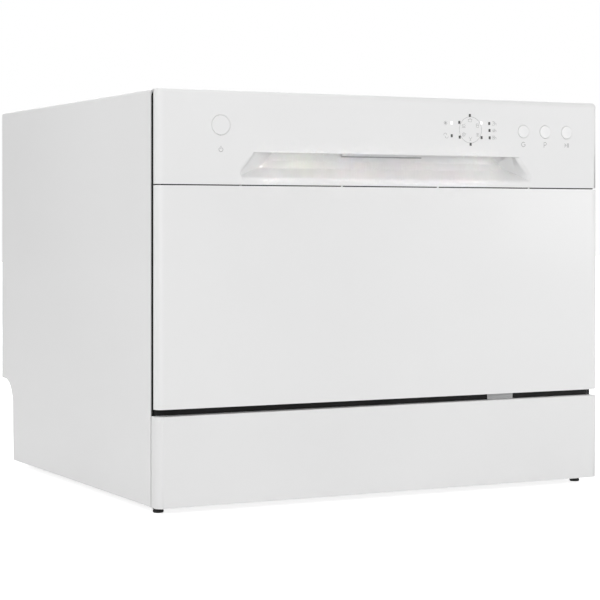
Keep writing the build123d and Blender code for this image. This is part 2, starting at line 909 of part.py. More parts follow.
# Mains switch behind the power button
switch_front = 12.0
with BuildPart() as power_switch:
    block((power_x - 12, power_x + 12), (switch_front, switch_front + 18), (power_row - 11, power_row + 11))
    for side in (-1, 1):
        x = power_x + side * 15.6
        block((x - 3, x + 3), (console_wall, switch_front + 4), (power_row - 5, power_row + 5))
power_switch.part.label = "power_switch"
export_step(power_switch.part, "parts/power_switch.step")


# Push buttons: a round cap with a stem to its switch
def push_button(x, z, radius, face, cap_end, stem_end):
    with BuildPart() as button:
        with BuildSketch(upright(cap_end)):
            with Locations((x, z)):
                Circle(radius)
        extrude(amount=cap_end - face)
        front_rim = button.edges().group_by(Axis.Y)[0]
        fillet(front_rim, 0.8)
        with BuildSketch(upright(stem_end)):
            with Locations((x, z)):
                Circle(2.5)
        extrude(amount=stem_end - cap_end + 0.5)
    return button


cap_face = 0.2
button_rest_gap = button_travel + 0.25
power_button = push_button(
    power_x, power_row, power_radius, cap_face, sleeve_end, switch_front - button_rest_gap
)
power_button.part.label = "power_button"
export_step(power_button.part, "parts/power_button.step")

small_buttons = (("delay_button", delay_x), ("program_button", program_x), ("start_button", start_x))
for button_name, x in small_buttons:
    small_button = push_button(
        x, button_row, small_button_radius, cap_face, sleeve_end, key_front - button_rest_gap
    )
    small_button.part.label = button_name
    export_step(small_button.part, f"parts/{button_name}.step")


# Latch housing: a moulded cage on the door side of the liner, with the two pivot pins
lever_pivot_depth = 33.0
hook_pivot_depth = 34.0
hook_pivot_level = tub_ceiling + 1.0
latch_pin = 2.0
cheek = 2.5
housing_half = 48.0
housing_back = liner_back - liner_sheet - 0.1

with BuildPart() as latch_housing:
    housing_high = liner_top - 5
    extrude(
        framed(housing_back, (-housing_half, housing_half), (latch_cage_low, housing_high), 3),
        amount=cheek,
    )
    extrude(
        framed(
            housing_back + 1,
            (-latch_notch_half, latch_notch_half),
            (hook_pivot_level - 5, housing_high + 5),
            1,
        ),
        amount=cheek + 2,
        mode=Mode.SUBTRACT,
    )
    for side in (-1, 1):
        outer_cheek = sorted((side * (housing_half - cheek), side * housing_half))
        inner_cheek = sorted((side * latch_notch_half, side * (latch_notch_half + cheek)))
        block(
            outer_cheek,
            (lever_pivot_depth - 4, housing_back),
            (latch_cage_low, lever_pivot_level + 8),
        )
        block(
            inner_cheek,
            (hook_pivot_depth - 4, housing_back),
            (lever_pivot_level + latch_pin + 3, housing_high),
        )
    rod((-housing_half, behind(lever_pivot_depth), lever_pivot_level),
        (housing_half, behind(lever_pivot_depth), lever_pivot_level), latch_pin)
    rod((-latch_notch_half - cheek, behind(hook_pivot_depth), hook_pivot_level),
        (latch_notch_half + cheek, behind(hook_pivot_depth), hook_pivot_level), latch_pin)
latch_housing.part.label = "latch_housing"
export_step(latch_housing.part, "parts/latch_housing.step")


# Handle lever: the bar that the fingers squeeze, on two arms, with a finger that tips the hook
lever_bar_half = 50.0
lever_bar_low = console_bottom + grip_lip_rise - 0.9
lever_bar_height = 3.2
finger_level = lever_pivot_level + 9.5
finger_half = 4.0

with BuildPart() as handle_lever:
    with BuildSketch(Plane.YZ):
        with Locations((behind(lever_bar_depth), lever_bar_low + lever_bar_height / 2)):
            RectangleRounded(4.4, lever_bar_height, 1.4)
    extrude(amount=lever_bar_half, both=True)
    for side in (-1, 1):
        arm_points = [
            (lever_bar_depth - 1.8, lever_bar_low + 1.5),
            (lever_bar_depth + 1.8, lever_bar_low + 1.5),
            (lever_pivot_depth + 2, lever_pivot_level - 3),
            (lever_pivot_depth - 3, lever_pivot_level + 2),
        ]
        with BuildSketch(Plane.YZ.offset(side * lever_arm_x)) as arm:
            with BuildLine():
                Polyline([(behind(d), z) for d, z in arm_points], close=True)
            make_face()
        extrude(arm.sketch, amount=lever_arm_width / 2, both=True)
    # Tube between the arms, turning on the pin of the housing
    rod((-lever_arm_x, behind(lever_pivot_depth), lever_pivot_level),
        (lever_arm_x, behind(lever_pivot_depth), lever_pivot_level), latch_pin + 2)
    block(
        (-finger_half, finger_half),
        (lever_pivot_depth - 5.2, lever_pivot_depth - 3.2),
        (lever_pivot_level, finger_level + 1),
    )
    rod((-width, behind(lever_pivot_depth), lever_pivot_level),
        (width, behind(lever_pivot_depth), lever_pivot_level), latch_pin + running_gap, mode=Mode.SUBTRACT)
handle_lever.part.label = "handle_lever"
export_step(handle_lever.part, "parts/handle_lever.step")


# Latch hook: pivots in the housing, its beak behind the lip of the striker
hook_half = 6.0
beak_low = striker_top + 6.0
shank_low = lip_top + seat_gap
shank_high = shank_low + 6.0

with BuildPart() as latch_hook:
    hook_points = [
        (hook_pivot_depth - 4, hook_pivot_level),
        (hook_pivot_depth - 2.5, finger_level - 1.5),
        (hook_pivot_depth + 1.5, finger_level - 1.5),
        (hook_pivot_depth + 4.5, hook_pivot_level),
        (hook_pivot_depth + 10, shank_low),
        (beak_front, shank_low),
        (beak_front, beak_low),
        (beak_front + 3, beak_low),
        (beak_front + 6.5, shank_low + 1),
        (beak_front + 5, shank_high),
        (hook_pivot_depth + 4, shank_high),
    ]
    with BuildSketch(Plane.YZ):
        with BuildLine():
            Polyline([(behind(d), z) for d, z in hook_points], close=True)
        make_face()
        with Locations((behind(hook_pivot_depth), hook_pivot_level)):
            Circle(4.5)
            Circle(latch_pin + running_gap, mode=Mode.SUBTRACT)
    extrude(amount=hook_half, both=True)
latch_hook.part.label = "latch_hook"
export_step(latch_hook.part, "parts/latch_hook.step")


# Detergent dispenser: a moulded body in the liner with an open cup and a rinse-aid tank
cup_left = -95.0
cup_right = -25.0
cup_low = dispenser_low + 20.0
cup_high = dispenser_high - 20.0
cup_floor = 20.0
flange_thickness = 3.0
flange_back = dish_depth + 0.1 + flange_thickness
rinse_x = 6.0
rinse_level = dispenser_high - 38.0
rinse_radius = 13.0
rail_height = 2.2
lid_thickness = 2.4
lid_overlap = 4.0

with BuildPart() as detergent_dispenser:
    extrude(
        framed(
            flange_back,
            (dispenser_left + 1, dispenser_right - 1),
            (dispenser_low + 1, dispenser_high - 1),
            8,
        ),
        amount=flange_thickness,
    )
    extrude(
        framed(
            dish_depth + 0.5,
            (dispenser_left + 60, dispenser_right - 9.5),
            (dispenser_low + 9.5, dispenser_high - 9.5),
            3,
        ),
        amount=dish_depth + 0.5 - cup_floor + 2,
    )
    cup_space = framed(flange_back + 1, (cup_left, cup_right), (cup_low, cup_high), 10)
    extrude(cup_space, amount=flange_back + 1 - cup_floor, mode=Mode.SUBTRACT)
    # Rails above and below the cup, whose lips hold the sliding lid
    lid_low = cup_low - lid_overlap
    lid_high = cup_high + lid_overlap
    rail_left = dispenser_left + 4
    rail_right = cup_right + lid_overlap + 3
    rail_back = flange_back + 2 * seat_gap + lid_thickness + 1.2
    for edge, outward in ((lid_low, -1), (lid_high, 1)):
        rail_z = sorted((edge + outward * seat_gap, edge + outward * (seat_gap + rail_height)))
        lip_z = sorted((edge - outward * 1.2, edge + outward * (seat_gap + rail_height)))
        block((rail_left, rail_right), (flange_back - 0.5, rail_back), rail_z)
        block((rail_left, rail_right), (rail_back - 1.2, rail_back), lip_z)
    # Filler neck of the rinse-aid tank
    rod((rinse_x, behind(flange_back - 1), rinse_level), (rinse_x, behind(flange_back + 1.5), rinse_level),
        rinse_radius - 1)
    rod((rinse_x, behind(flange_back - 8), rinse_level), (rinse_x, behind(flange_back + 2), rinse_level),
        rinse_radius - 5, mode=Mode.SUBTRACT)
detergent_dispenser.part.label = "detergent_dispenser"
export_step(detergent_dispenser.part, "parts/detergent_dispenser.step")


# Sliding lid of the detergent cup
with BuildPart() as dispenser_lid:
    lid_back = flange_back + seat_gap + lid_thickness
    lid_left = cup_left - lid_overlap
    lid_right = cup_right + lid_overlap
    extrude(
        framed(lid_back, (lid_left, lid_right), (lid_low, lid_high), 1.5),
        amount=lid_thickness,
    )
    # Thumb ridge
    for place in (0, 1, 2):
        x = lid_right - 12 - 5 * place
        block((x - 0.8, x + 0.8), (lid_back - 0.5, lid_back + 1.6), (lid_low + 22, lid_high - 22))
dispenser_lid.part.label = "dispenser_lid"
export_step(dispenser_lid.part, "parts/dispenser_lid.step")


# Rinse-aid cap: a quarter-turn cap with a grip bar
with BuildPart() as rinse_aid_cap:
    cap_seat = flange_back + 1.5 + seat_gap
    cap_rim = cap_seat + 2.4
    rod((rinse_x, behind(cap_seat), rinse_level), (rinse_x, behind(cap_rim), rinse_level), rinse_radius)
    rod((rinse_x, behind(flange_back - 5), rinse_level), (rinse_x, behind(cap_seat + 1), rinse_level),
        rinse_radius - 5 - 0.15)
    block((rinse_x - 2, rinse_x + 2), (cap_seat + 1, cap_seat + 6), (rinse_level - 11, rinse_level + 11))
rinse_aid_cap.part.label = "rinse_aid_cap"
export_step(rinse_aid_cap.part, "parts/rinse_aid_cap.step")


# Sump: the moulded well under the tub that feeds both pumps, with the post of the spray arm
pump_port_level = 66.0
pump_port_radius = 13.0
sump_flange = 6.0
sump_top = tub_floor - tub_sheet
sump_wall = 2.5
sump_bottom = sump_top - sump_depth

with BuildPart() as sump:
    with BuildSketch(Plane.XZ):
        with BuildLine():
            Polyline(
                [
                    (0, sump_bottom),
                    (38, sump_bottom),
                    (sump_radius - 4, sump_top - 40),
                    (sump_radius - 4, sump_top - 3),
                    (sump_radius + sump_flange, sump_top - 3),
                    (sump_radius + sump_flange, sump_top - 0.1),
                    (sump_radius - 4 - sump_wall, sump_top - 0.1),
                    (sump_radius - 4 - sump_wall, sump_top - 39),
                    (36, sump_bottom + sump_wall),
                    (0, sump_bottom + sump_wall),
                ],
                close=True,
            )
        make_face()
    revolve(axis=Axis.Z)
    # Hub post, with the water way to the spray arm
    arm_low = tub_floor + arm_rise
    arm_high = arm_low + arm_thickness
    post_shoulder = arm_low - seat_gap
    rod((0, 0, sump_bottom + 1), (0, 0, post_shoulder), post_radius + 3)
    rod((0, 0, post_shoulder - 1), (0, 0, arm_high + 3), post_radius)
    # Ports to the wash pump and the drain pump
    rod((40, 0, pump_port_level), (sump_radius + 6, 0, pump_port_level), pump_port_radius)
    rod((-28, 40, pump_port_level - 6), (-28, sump_radius + 8, pump_port_level - 6), 10)
sump.part.label = "sump"
export_step(sump.part, "parts/sump.step")


# Flat filter: the pressed steel screen over the sump
with BuildPart() as flat_filter:
    with BuildSketch(Plane.XY.offset(tub_floor - 0.9)) as screen:
        Circle(sump_radius - 0.4)
        Circle(post_radius + 3 + seat_gap, mode=Mode.SUBTRACT)
        with Locations((filter_x, 0)):
            Circle(filter_radius + seat_gap, mode=Mode.SUBTRACT)
        with PolarLocations(sump_radius - 14, 10, start_angle=50, angular_range=260):
            SlotOverall(14, 3, rotation=90, mode=Mode.SUBTRACT)
    extrude(amount=0.8)
flat_filter.part.label = "flat_filter"
export_step(flat_filter.part, "parts/flat_filter.step")


# Filter cup: the fine filter, lifted and turned by the ring on top
with BuildPart() as filter_cup:
    cup_bottom = sump_top - 38
    cup_wall = 2.0
    cup_top = tub_floor + 2.0
    with BuildSketch(Plane.XY.offset(cup_bottom)):
        with Locations((filter_x, 0)):
            Circle(filter_radius)
    extrude(amount=cup_top - cup_bottom)
    with BuildSketch(Plane.XY.offset(cup_top)) as cup_mouth:
        with Locations((filter_x, 0)):
            Circle(filter_radius - cup_wall)
    extrude(cup_mouth.sketch, amount=-(cup_top - cup_bottom - cup_wall), mode=Mode.SUBTRACT)
    block((filter_x - filter_radius + 1, filter_x + filter_radius - 1), (depth / 2 - 1.5, depth / 2 + 1.5),
          (cup_top - 8, cup_top + 3))
filter_cup.part.label = "filter_cup"
export_step(filter_cup.part, "parts/filter_cup.step")


# Spray arm: two tapering hollow blades on a hub, with nozzles along them
blade_root = 23.0
blade_tip = 15.0
hub_radius = 22.0
nozzle_radius = 2.6

with BuildPart() as spray_arm:
    with BuildSketch(Plane.XY.offset(arm_low)):
        for side in (-1, 1):
            with BuildLine():
                Polyline(
                    [
                        (0, -blade_root),
                        (side * (arm_length - blade_tip), -blade_tip),
                        (side * (arm_length - blade_tip), blade_tip),
                        (0, blade_root),
                    ],
                    close=True,
                )
            make_face()
            with Locations((side * (arm_length - blade_tip), 0)):
                Circle(blade_tip)
        Circle(hub_radius + 2)
    extrude(amount=arm_thickness)
    chamfer(spray_arm.faces().sort_by(Axis.Z)[-1].edges(), 1.5)
    with BuildSketch(Plane.XY.offset(arm_high - 0.5)) as nozzles:
        for distance, shift in ((60, 5), (90, -4), (120, 4), (150, -3), (172, 0)):
            with Locations((distance, shift), (-distance, -shift)):
                Circle(nozzle_radius)
    extrude(nozzles.sketch, amount=1.6)
    with BuildSketch(Plane.XY.offset(arm_low - 1)) as arm_bore:
        Circle(post_radius + running_gap)
    extrude(arm_bore.sketch, amount=arm_thickness + 4, mode=Mode.SUBTRACT)
spray_arm.part.label = "spray_arm"
export_step(spray_arm.part, "parts/spray_arm.step")


# Nut that keeps the spray arm on its post
with BuildPart() as spray_arm_nut:
    nut_low = arm_high + seat_gap
    with BuildSketch(Plane.XY.offset(nut_low)):
        RegularPolygon(post_radius + 5, 8)
        Circle(post_radius + running_gap, mode=Mode.SUBTRACT)
    extrude(amount=3.5)
    with BuildSketch(Plane.XY.offset(nut_low + 3.0)):
        Circle(post_radius + 3)
    extrude(amount=1.5)
spray_arm_nut.part.label = "spray_arm_nut"
export_step(spray_arm_nut.part, "parts/spray_arm_nut.step")


# Wash pump: volute against the sump, motor behind it, on a saddle foot
volute_radius = 33.0
volute_start = sump_radius + 6.3
volute_width = 24.0
motor_radius = 27.0
motor_length = 84.0

with BuildPart() as wash_pump:
    volute_end = volute_start + volute_width
    motor_end = volute_end + motor_length
    rod((volute_start, 0, pump_port_level), (volute_end, 0, pump_port_level), volute_radius)
    rod((volute_end - 1, 0, pump_port_level), (motor_end, 0, pump_port_level), motor_radius)
    rod((motor_end - 1, 0, pump_port_level), (motor_end + 6, 0, pump_port_level), motor_radius / 2)
    # Outlet that climbs to the underside of the sump flange
    rod((volute_start + 12, -16, pump_port_level), (volute_start + 12, -16, pump_port_level + 48), 9)
    for x in (volute_end + 14, motor_end - 14):
        block((x - 5, x + 5), (depth / 2 - 22, depth / 2 + 22), (tray_floor + 0.1, pump_port_level))
    for x in (volute_end + 26, volute_end + 42, volute_end + 58):
        with BuildSketch(Plane.YZ.offset(x)) as fin:
            with Locations((0, pump_port_level)):
                Circle(motor_radius + 2)
                Circle(motor_radius - 1, mode=Mode.SUBTRACT)
        extrude(fin.sketch, amount=3)
wash_pump.part.label = "wash_pump"
export_step(wash_pump.part, "parts/wash_pump.step")


# Flow heater: a steel tube with its element, beside the sump
heater_radius = 19.0
heater_y = 104.0
heater_level = 60.0
heater_ends = (10.0, 130.0)

with BuildPart() as flow_heater:
    rod((heater_ends[0], heater_y, heater_level), (heater_ends[1], heater_y, heater_level), heater_radius)
    for x in heater_ends:
        rod((x - 4, heater_y, heater_level), (x + 4, heater_y, heater_level), heater_radius + 3)
    for x in (35, 105):
        block((x - 4, x + 4), (depth / 2 + heater_y - 14, depth / 2 + heater_y + 14),
              (tray_floor + 0.1, heater_level))
    for side in (-1, 1):
        rod((heater_ends[1] + 3, heater_y + 8 * side, heater_level),
            (heater_ends[1] + 16, heater_y + 8 * side, heater_level), 2)
flow_heater.part.label = "flow_heater"
export_step(flow_heater.part, "parts/flow_heater.step")


# Drain pump: a small motor pump behind the sump
drain_pump_radius = 17.0
drain_pump_start = sump_radius + 8.3
drain_pump_length = 58.0
drain_pump_level = pump_port_level - 6
drain_pump_x = -28.0

with BuildPart() as drain_pump:
    drain_pump_end = drain_pump_start + drain_pump_length
    for start, end, radius in (
        (drain_pump_start, drain_pump_start + 18, drain_pump_radius + 5),
        (drain_pump_start + 17, drain_pump_end, drain_pump_radius),
    ):
        rod((drain_pump_x, start, drain_pump_level), (drain_pump_x, end, drain_pump_level), radius)
    block(
        (drain_pump_x - 10, drain_pump_x + 10),
        (depth / 2 + drain_pump_start + 26, depth / 2 + drain_pump_start + 42),
        (tray_floor + 0.1, drain_pump_level),
    )
    outlet_y = drain_pump_start + 9
    rod((-45, outlet_y, drain_pump_level), (-58, outlet_y, drain_pump_level), 7)
drain_pump.part.label = "drain_pump"
export_step(drain_pump.part, "parts/drain_pump.step")


# Drain spigot through the rear wall of the base, where the outside hose pushes on
spigot_out = 26.0
stub_length = 14.0
stub_clearance = 1.0

with BuildPart() as drain_spigot:
    spigot_in = tray_back - tray_wall - 14
    tray_rear_face = tray_back - tray_wall - 0.1
    stub_start = behind(tray_back + stub_clearance)
    spigot_end = behind(tray_back + spigot_out)
    rod((drain_x, behind(spigot_in), drain_z), (drain_x, stub_start, drain_z), drain_neck_radius)
    rod((drain_x, stub_start, drain_z), (drain_x, spigot_end, drain_z), drain_radius)
    rod(
        (drain_x, behind(tray_rear_face - 4), drain_z),
        (drain_x, behind(tray_rear_face), drain_z),
        drain_radius + 5,
    )
    rod(
        (drain_x, behind(spigot_in - 1), drain_z),
        (drain_x, spigot_end + 1, drain_z),
        drain_neck_radius - 1.8,
        mode=Mode.SUBTRACT,
    )
drain_spigot.part.label = "drain_spigot"
export_step(drain_spigot.part, "parts/drain_spigot.step")


# Inlet valve: solenoid body inside, threaded stub in the recess
with BuildPart() as inlet_valve:
    valve_front = tray_back - tray_wall - 34
    stub_end = behind(tray_back + stub_length)
    rod((inlet_x, behind(tray_rear_face - 1), inlet_z), (inlet_x, stub_start, inlet_z), inlet_neck_radius)
    rod((inlet_x, stub_start, inlet_z), (inlet_x, stub_end, inlet_z), inlet_radius)
    rod(
        (inlet_x, behind(tray_back + 3), inlet_z),
        (inlet_x, stub_end + 1, inlet_z),
        inlet_radius - 4,
        mode=Mode.SUBTRACT,
    )
    block((inlet_x - 17, inlet_x + 17), (valve_front, tray_rear_face), (inlet_z - 16, inlet_z + 16))
    coil_y = behind(valve_front + 14)
    rod((inlet_x, coil_y, inlet_z + 15), (inlet_x, coil_y, inlet_z + 50), 13)
    valve_outlet_y = behind(valve_front + 12)
    rod((inlet_x - 16, valve_outlet_y, inlet_z), (inlet_x - 26, valve_outlet_y, inlet_z), hose_radius)
    block((inlet_x - 6, inlet_x + 6), (valve_front + 8, valve_front + 22), (tray_floor + 0.1, inlet_z - 15))
inlet_valve.part.label = "inlet_valve"
export_step(inlet_valve.part, "parts/inlet_valve.step")


# Gland that the mains lead passes through
with BuildPart() as cable_gland:
    gland_in = tray_rear_face - 8
    gland_out = tray_back + 10
    # Neck, inner flange, outer collar and the bore for the lead
    for start, end, radius in (
        (gland_in, gland_out, gland_radius),
        (tray_rear_face - 4, tray_rear_face, gland_radius + 4),
        (tray_back + 0.1, tray_back + 4, gland_radius + 3),
    ):
        rod((gland_x, behind(start), gland_z), (gland_x, behind(end), gland_z), radius)
    rod(
        (gland_x, behind(gland_in - 1), gland_z),
        (gland_x, behind(gland_out + 1), gland_z),
        gland_radius - 4.4,
        mode=Mode.SUBTRACT,
    )
cable_gland.part.label = "cable_gland"
export_step(cable_gland.part, "parts/cable_gland.step")


# Water channel: the flat air-break box between the tub and the left side
channel_low = tub_floor + 28.0
channel_high = tub_ceiling - 42.0
channel_depth = (150.0, 330.0)
channel_inner = tub_half + tub_sheet + seat_gap
channel_outer = channel_inner + 24.0

with BuildPart() as water_channel:
    channel_middle = (channel_depth[0] + channel_depth[1]) / 2
    with BuildSketch(Plane.YZ.offset(-channel_outer)):
        with Locations((behind(channel_middle), (channel_low + channel_high) / 2)):
            RectangleRounded(channel_depth[1] - channel_depth[0], channel_high - channel_low, 14)
    extrude(amount=channel_outer - channel_inner)
    # The maze of water ways shows as ribs on the outer face
    with BuildSketch(Plane.YZ.offset(-channel_outer)) as maze:
        for place in (-0.3, 0, 0.3):
            maze_level = (channel_low + channel_high) / 2 + 30 * place
            with Locations((behind(channel_middle + place * 150), maze_level)):
                Rectangle(3, channel_high - channel_low - 60)
    extrude(maze.sketch, amount=-2)
water_channel.part.label = "water_channel"
export_step(water_channel.part, "parts/water_channel.step")


# Softener: the resin and salt tank under the tub, with its neck through the tub floor
softener_x = (-172.0, -92.0)
softener_d = (308.0, 392.0)
neck_radius = salt_radius + 0.7

with BuildPart() as softener_tank:
    softener_top = tub_floor - tub_sheet - 5
    with BuildSketch(Plane.XY.offset(tray_floor + 0.1)):
        with Locations(((softener_x[0] + softener_x[1]) / 2, behind((softener_d[0] + softener_d[1]) / 2))):
            RectangleRounded(softener_x[1] - softener_x[0], softener_d[1] - softener_d[0], 12)
    extrude(amount=softener_top - tray_floor - 0.1)
    salt_axis = (salt_x, behind(salt_depth))
    neck_top = tub_floor + 3
    rod((*salt_axis, softener_top - 1), (*salt_axis, neck_top), neck_radius)
    rod((*salt_axis, softener_top - 30), (*salt_axis, neck_top + 1), salt_radius - 5, mode=Mode.SUBTRACT)
softener_tank.part.label = "softener_tank"
export_step(softener_tank.part, "parts/softener_tank.step")


# Salt cap: screwed on the neck of the softener
with BuildPart() as salt_cap:
    cap_low = neck_top + seat_gap
    rod((*salt_axis, cap_low), (*salt_axis, cap_low + 3), salt_radius)
    rod((*salt_axis, cap_low - 8), (*salt_axis, cap_low + 1), salt_radius - 5 - 0.2)
    block((salt_x - 17, salt_x + 17), (salt_depth - 2, salt_depth + 2), (cap_low + 2, cap_low + 5.5))
salt_cap.part.label = "salt_cap"
export_step(salt_cap.part, "parts/salt_cap.step")


# Overflow float: a dome in the tub on a stem through the floor
float_top_radius = 15.0

with BuildPart() as overflow_float:
    float_axis = (float_x, behind(float_depth))
    dome_low = tub_floor + seat_gap
    rod((*float_axis, dome_low), (*float_axis, dome_low + 12), float_top_radius)
    fillet(overflow_float.edges().group_by(Axis.Z)[-1], 5)
    rod((*float_axis, dome_low - 24), (*float_axis, dome_low + 1), float_stem - 1)
overflow_float.part.label = "overflow_float"
export_step(overflow_float.part, "parts/overflow_float.step")


# Float switch under the tub floor, with a guide sleeve round the stem
with BuildPart() as float_switch:
    sleeve_top = tub_floor - tub_sheet - 0.1
    rod((*float_axis, sleeve_top - 20), (*float_axis, sleeve_top), float_stem + 2.5)
    rod(
        (*float_axis, sleeve_top - 40),
        (*float_axis, sleeve_top + 1),
        float_stem - 1 + seat_gap,
        mode=Mode.SUBTRACT,
    )
    block((float_x + float_stem + 1, float_x + float_stem + 14), (float_depth - 9, float_depth + 9),
          (sleeve_top - 26, sleeve_top - 4))
float_switch.part.label = "float_switch"
export_step(float_switch.part, "parts/float_switch.step")


# Hoses inside the base, straight runs joined by arcs
def hose(points, radius, bend, bore):
    with BuildPart() as pipe:
        with BuildLine() as route:
            FilletPolyline(points, radius=bend)
        start = Plane(origin=route.line @ 0, z_dir=route.line % 0)
        with BuildSketch(start):
            Circle(radius)
            Circle(bore, mode=Mode.SUBTRACT)
        sweep(path=route.line)
    return pipe


valve_axis = behind(valve_front + 12)
riser_x = -(channel_inner + channel_outer) / 2
riser_y = behind(channel_depth[1] - 26)
fill_hose = hose(
    [
        (inlet_x - 26.2, valve_axis, inlet_z),
        (riser_x, valve_axis, inlet_z),
        (riser_x, riser_y, inlet_z + 30),
        (riser_x, riser_y, channel_low - 0.1),
    ],
    hose_radius,
    16,
    hose_radius - 1.5,
)
fill_hose.part.label = "fill_hose"
export_step(fill_hose.part, "parts/fill_hose.step")

drain_hose = hose(
    [
        (-58.2, outlet_y, drain_pump_level),
        (drain_x, outlet_y, drain_pump_level),
        (drain_x, outlet_y + 40, drain_z),
        (drain_x, behind(spigot_in) - 0.1, drain_z),
    ],
    hose_radius + 1,
    9,
    hose_radius - 0.5,
)
drain_hose.part.label = "drain_hose"
export_step(drain_hose.part, "parts/drain_hose.step")


# Dish rack: a welded wire basket; the floor and each wall are one flat grid
rack_half = tub_half - rack_side_space
rack_front = tub_front + rack_front_space
rack_back = tub_back - rack_rear_space
rack_floor = tub_floor + rack_rise
rack_rim = rack_floor + rack_height
rack_length = rack_back - rack_front
floor_wires = 14
cross_wires = 10
side_wires = 11
front_wires = 13
wire_side = rack_wire * 1.8
wire_sink = 0.4

with BuildPart() as dish_rack:
    # Floor: wires across, and wires along laid on top of them
    floor_level = rack_floor + wire_side / 2
    along_pitch = 2 * rack_half / floor_wires
    across_pitch = rack_length / cross_wires
    inner_half = rack_half - wire_side / 2 - rack_wire * 1.3
    with BuildSketch(Plane.YZ.offset(-inner_half)) as across:
        with Locations((behind((rack_front + rack_back) / 2), floor_level)):
            with GridLocations(across_pitch, 1, cross_wires - 1, 1):
                RegularPolygon(rack_wire, 6, rotation=30)
    extrude(across.sketch, amount=2 * inner_half)
    with BuildSketch(upright(rack_front + wire_side)) as along:
        with Locations((0, floor_level + wire_side - wire_sink)):
            with GridLocations(along_pitch, 1, floor_wires - 1, 1):
                RegularPolygon(rack_wire, 6, rotation=30)
    extrude(along.sketch, amount=-(rack_length - 2 * wire_side))
    # Side walls: uprights between a foot wire, a middle wire and the rim
    wall_pitch = rack_length / side_wires
    for side in (-1, 1):
        wall_x = side * (rack_half - wire_side / 2)
        with BuildSketch(upright(rack_front)) as rails:
            for z, size in (
                (floor_level, rack_wire),
                ((floor_level + rack_rim) / 2, rack_wire),
                (rack_rim - wire_side / 2, rack_wire * 1.3),
            ):
                with Locations((wall_x, z)):
                    RegularPolygon(size, 6, rotation=30)
        extrude(rails.sketch, amount=-rack_length)
        with BuildSketch(Plane.XY.offset(floor_level)) as posts:
            with Locations((wall_x, behind((rack_front + rack_back) / 2))):
                with GridLocations(1, wall_pitch, 1, side_wires - 1):
                    RegularPolygon(rack_wire * 0.9, 6)
        extrude(posts.sketch, amount=rack_rim - floor_level - wire_side / 2)
    # Front and rear walls
    end_pitch = 2 * rack_half / front_wires
    for wall_d in (rack_front + wire_side / 2, rack_back - wire_side / 2):
        with BuildSketch(Plane.YZ.offset(-inner_half)) as end_rails:
            for z, size in (
                (floor_level, rack_wire),
                ((floor_level + rack_rim) / 2, rack_wire),
                (rack_rim - wire_side / 2, rack_wire * 1.3),
            ):
                with Locations((behind(wall_d), z)):
                    RegularPolygon(size, 6, rotation=30)
        extrude(end_rails.sketch, amount=2 * inner_half)
        with BuildSketch(Plane.XY.offset(floor_level)) as end_posts:
            with Locations((0, behind(wall_d))):
                with GridLocations(end_pitch, 1, front_wires - 1, 1):
                    RegularPolygon(rack_wire * 0.9, 6)
        extrude(end_posts.sketch, amount=rack_rim - floor_level - wire_side / 2)
dish_rack.part.label = "dish_rack"
export_step(dish_rack.part, "parts/dish_rack.step")


# Plate tines: two rows of upright wires on the floor of the rack
tine_rows = (-4.5, 1.5)
tine_pitch = 34.0
tine_count = 8
tine_rise = 62.0

with BuildPart() as plate_tines:
    tine_foot = floor_level + 2 * rack_wire + running_gap
    for place in tine_rows:
        row_x = place * along_pitch
        row_length = tine_pitch * (tine_count - 1)
        row_middle = behind((rack_front + rack_back) / 2)
        with BuildSketch(Plane.XZ.offset(-(row_middle + row_length / 2 + 8))) as foot_rail:
            with Locations((row_x, tine_foot)):
                RegularPolygon(rack_wire, 6, rotation=30)
        extrude(foot_rail.sketch, amount=row_length + 16)
        with BuildSketch(Plane.XY.offset(tine_foot)) as tines:
            with Locations((row_x, row_middle)):
                with GridLocations(1, tine_pitch, 1, tine_count):
                    RegularPolygon(rack_wire, 6)
        extrude(tines.sketch, amount=tine_rise)
plate_tines.part.label = "plate_tines"
export_step(plate_tines.part, "parts/plate_tines.step")


# Wheel carriers: moulded clips on the side wires, each with an axle stub
wheel_level = ledge_top + seat_gap + wheel_radius
axle_start = rack_half + 2.0
wheel_inner = rack_half + 3.2
wheel_outer = wheel_inner + wheel_width
wheel_places = [
    ("front_left", -1, front_wheel_depth),
    ("front_right", 1, front_wheel_depth),
    ("rear_left", -1, rear_wheel_depth),
    ("rear_right", 1, rear_wheel_depth),
]

with BuildPart() as wheel_carriers:
    for _, side, distance in wheel_places:
        with BuildSketch(Plane.YZ.offset(side * (rack_half + 0.1))) as clip:
            with Locations((behind(distance), wheel_level)):
                Circle(axle_radius + 3)
            with Locations((behind(distance), (wheel_level + rack_floor + 24) / 2)):
                Rectangle(2 * axle_radius + 6, rack_floor + 24 - wheel_level)
            fillet(clip.vertices().group_by(Axis.Y)[-1], 3)
        extrude(clip.sketch, amount=side * (axle_start - rack_half))
        rod((side * axle_start, behind(distance), wheel_level),
            (side * (wheel_outer + 0.8), behind(distance), wheel_level), axle_radius)
        rod((side * (wheel_outer + 0.5), behind(distance), wheel_level),
            (side * (wheel_outer + 1.7), behind(distance), wheel_level), axle_radius + 1.2)
wheel_carriers.part.label = "wheel_carriers"
export_step(wheel_carriers.part, "parts/wheel_carriers.step")


# Rack wheels: a rim, a hub and four spokes
rim_wall = 2.6

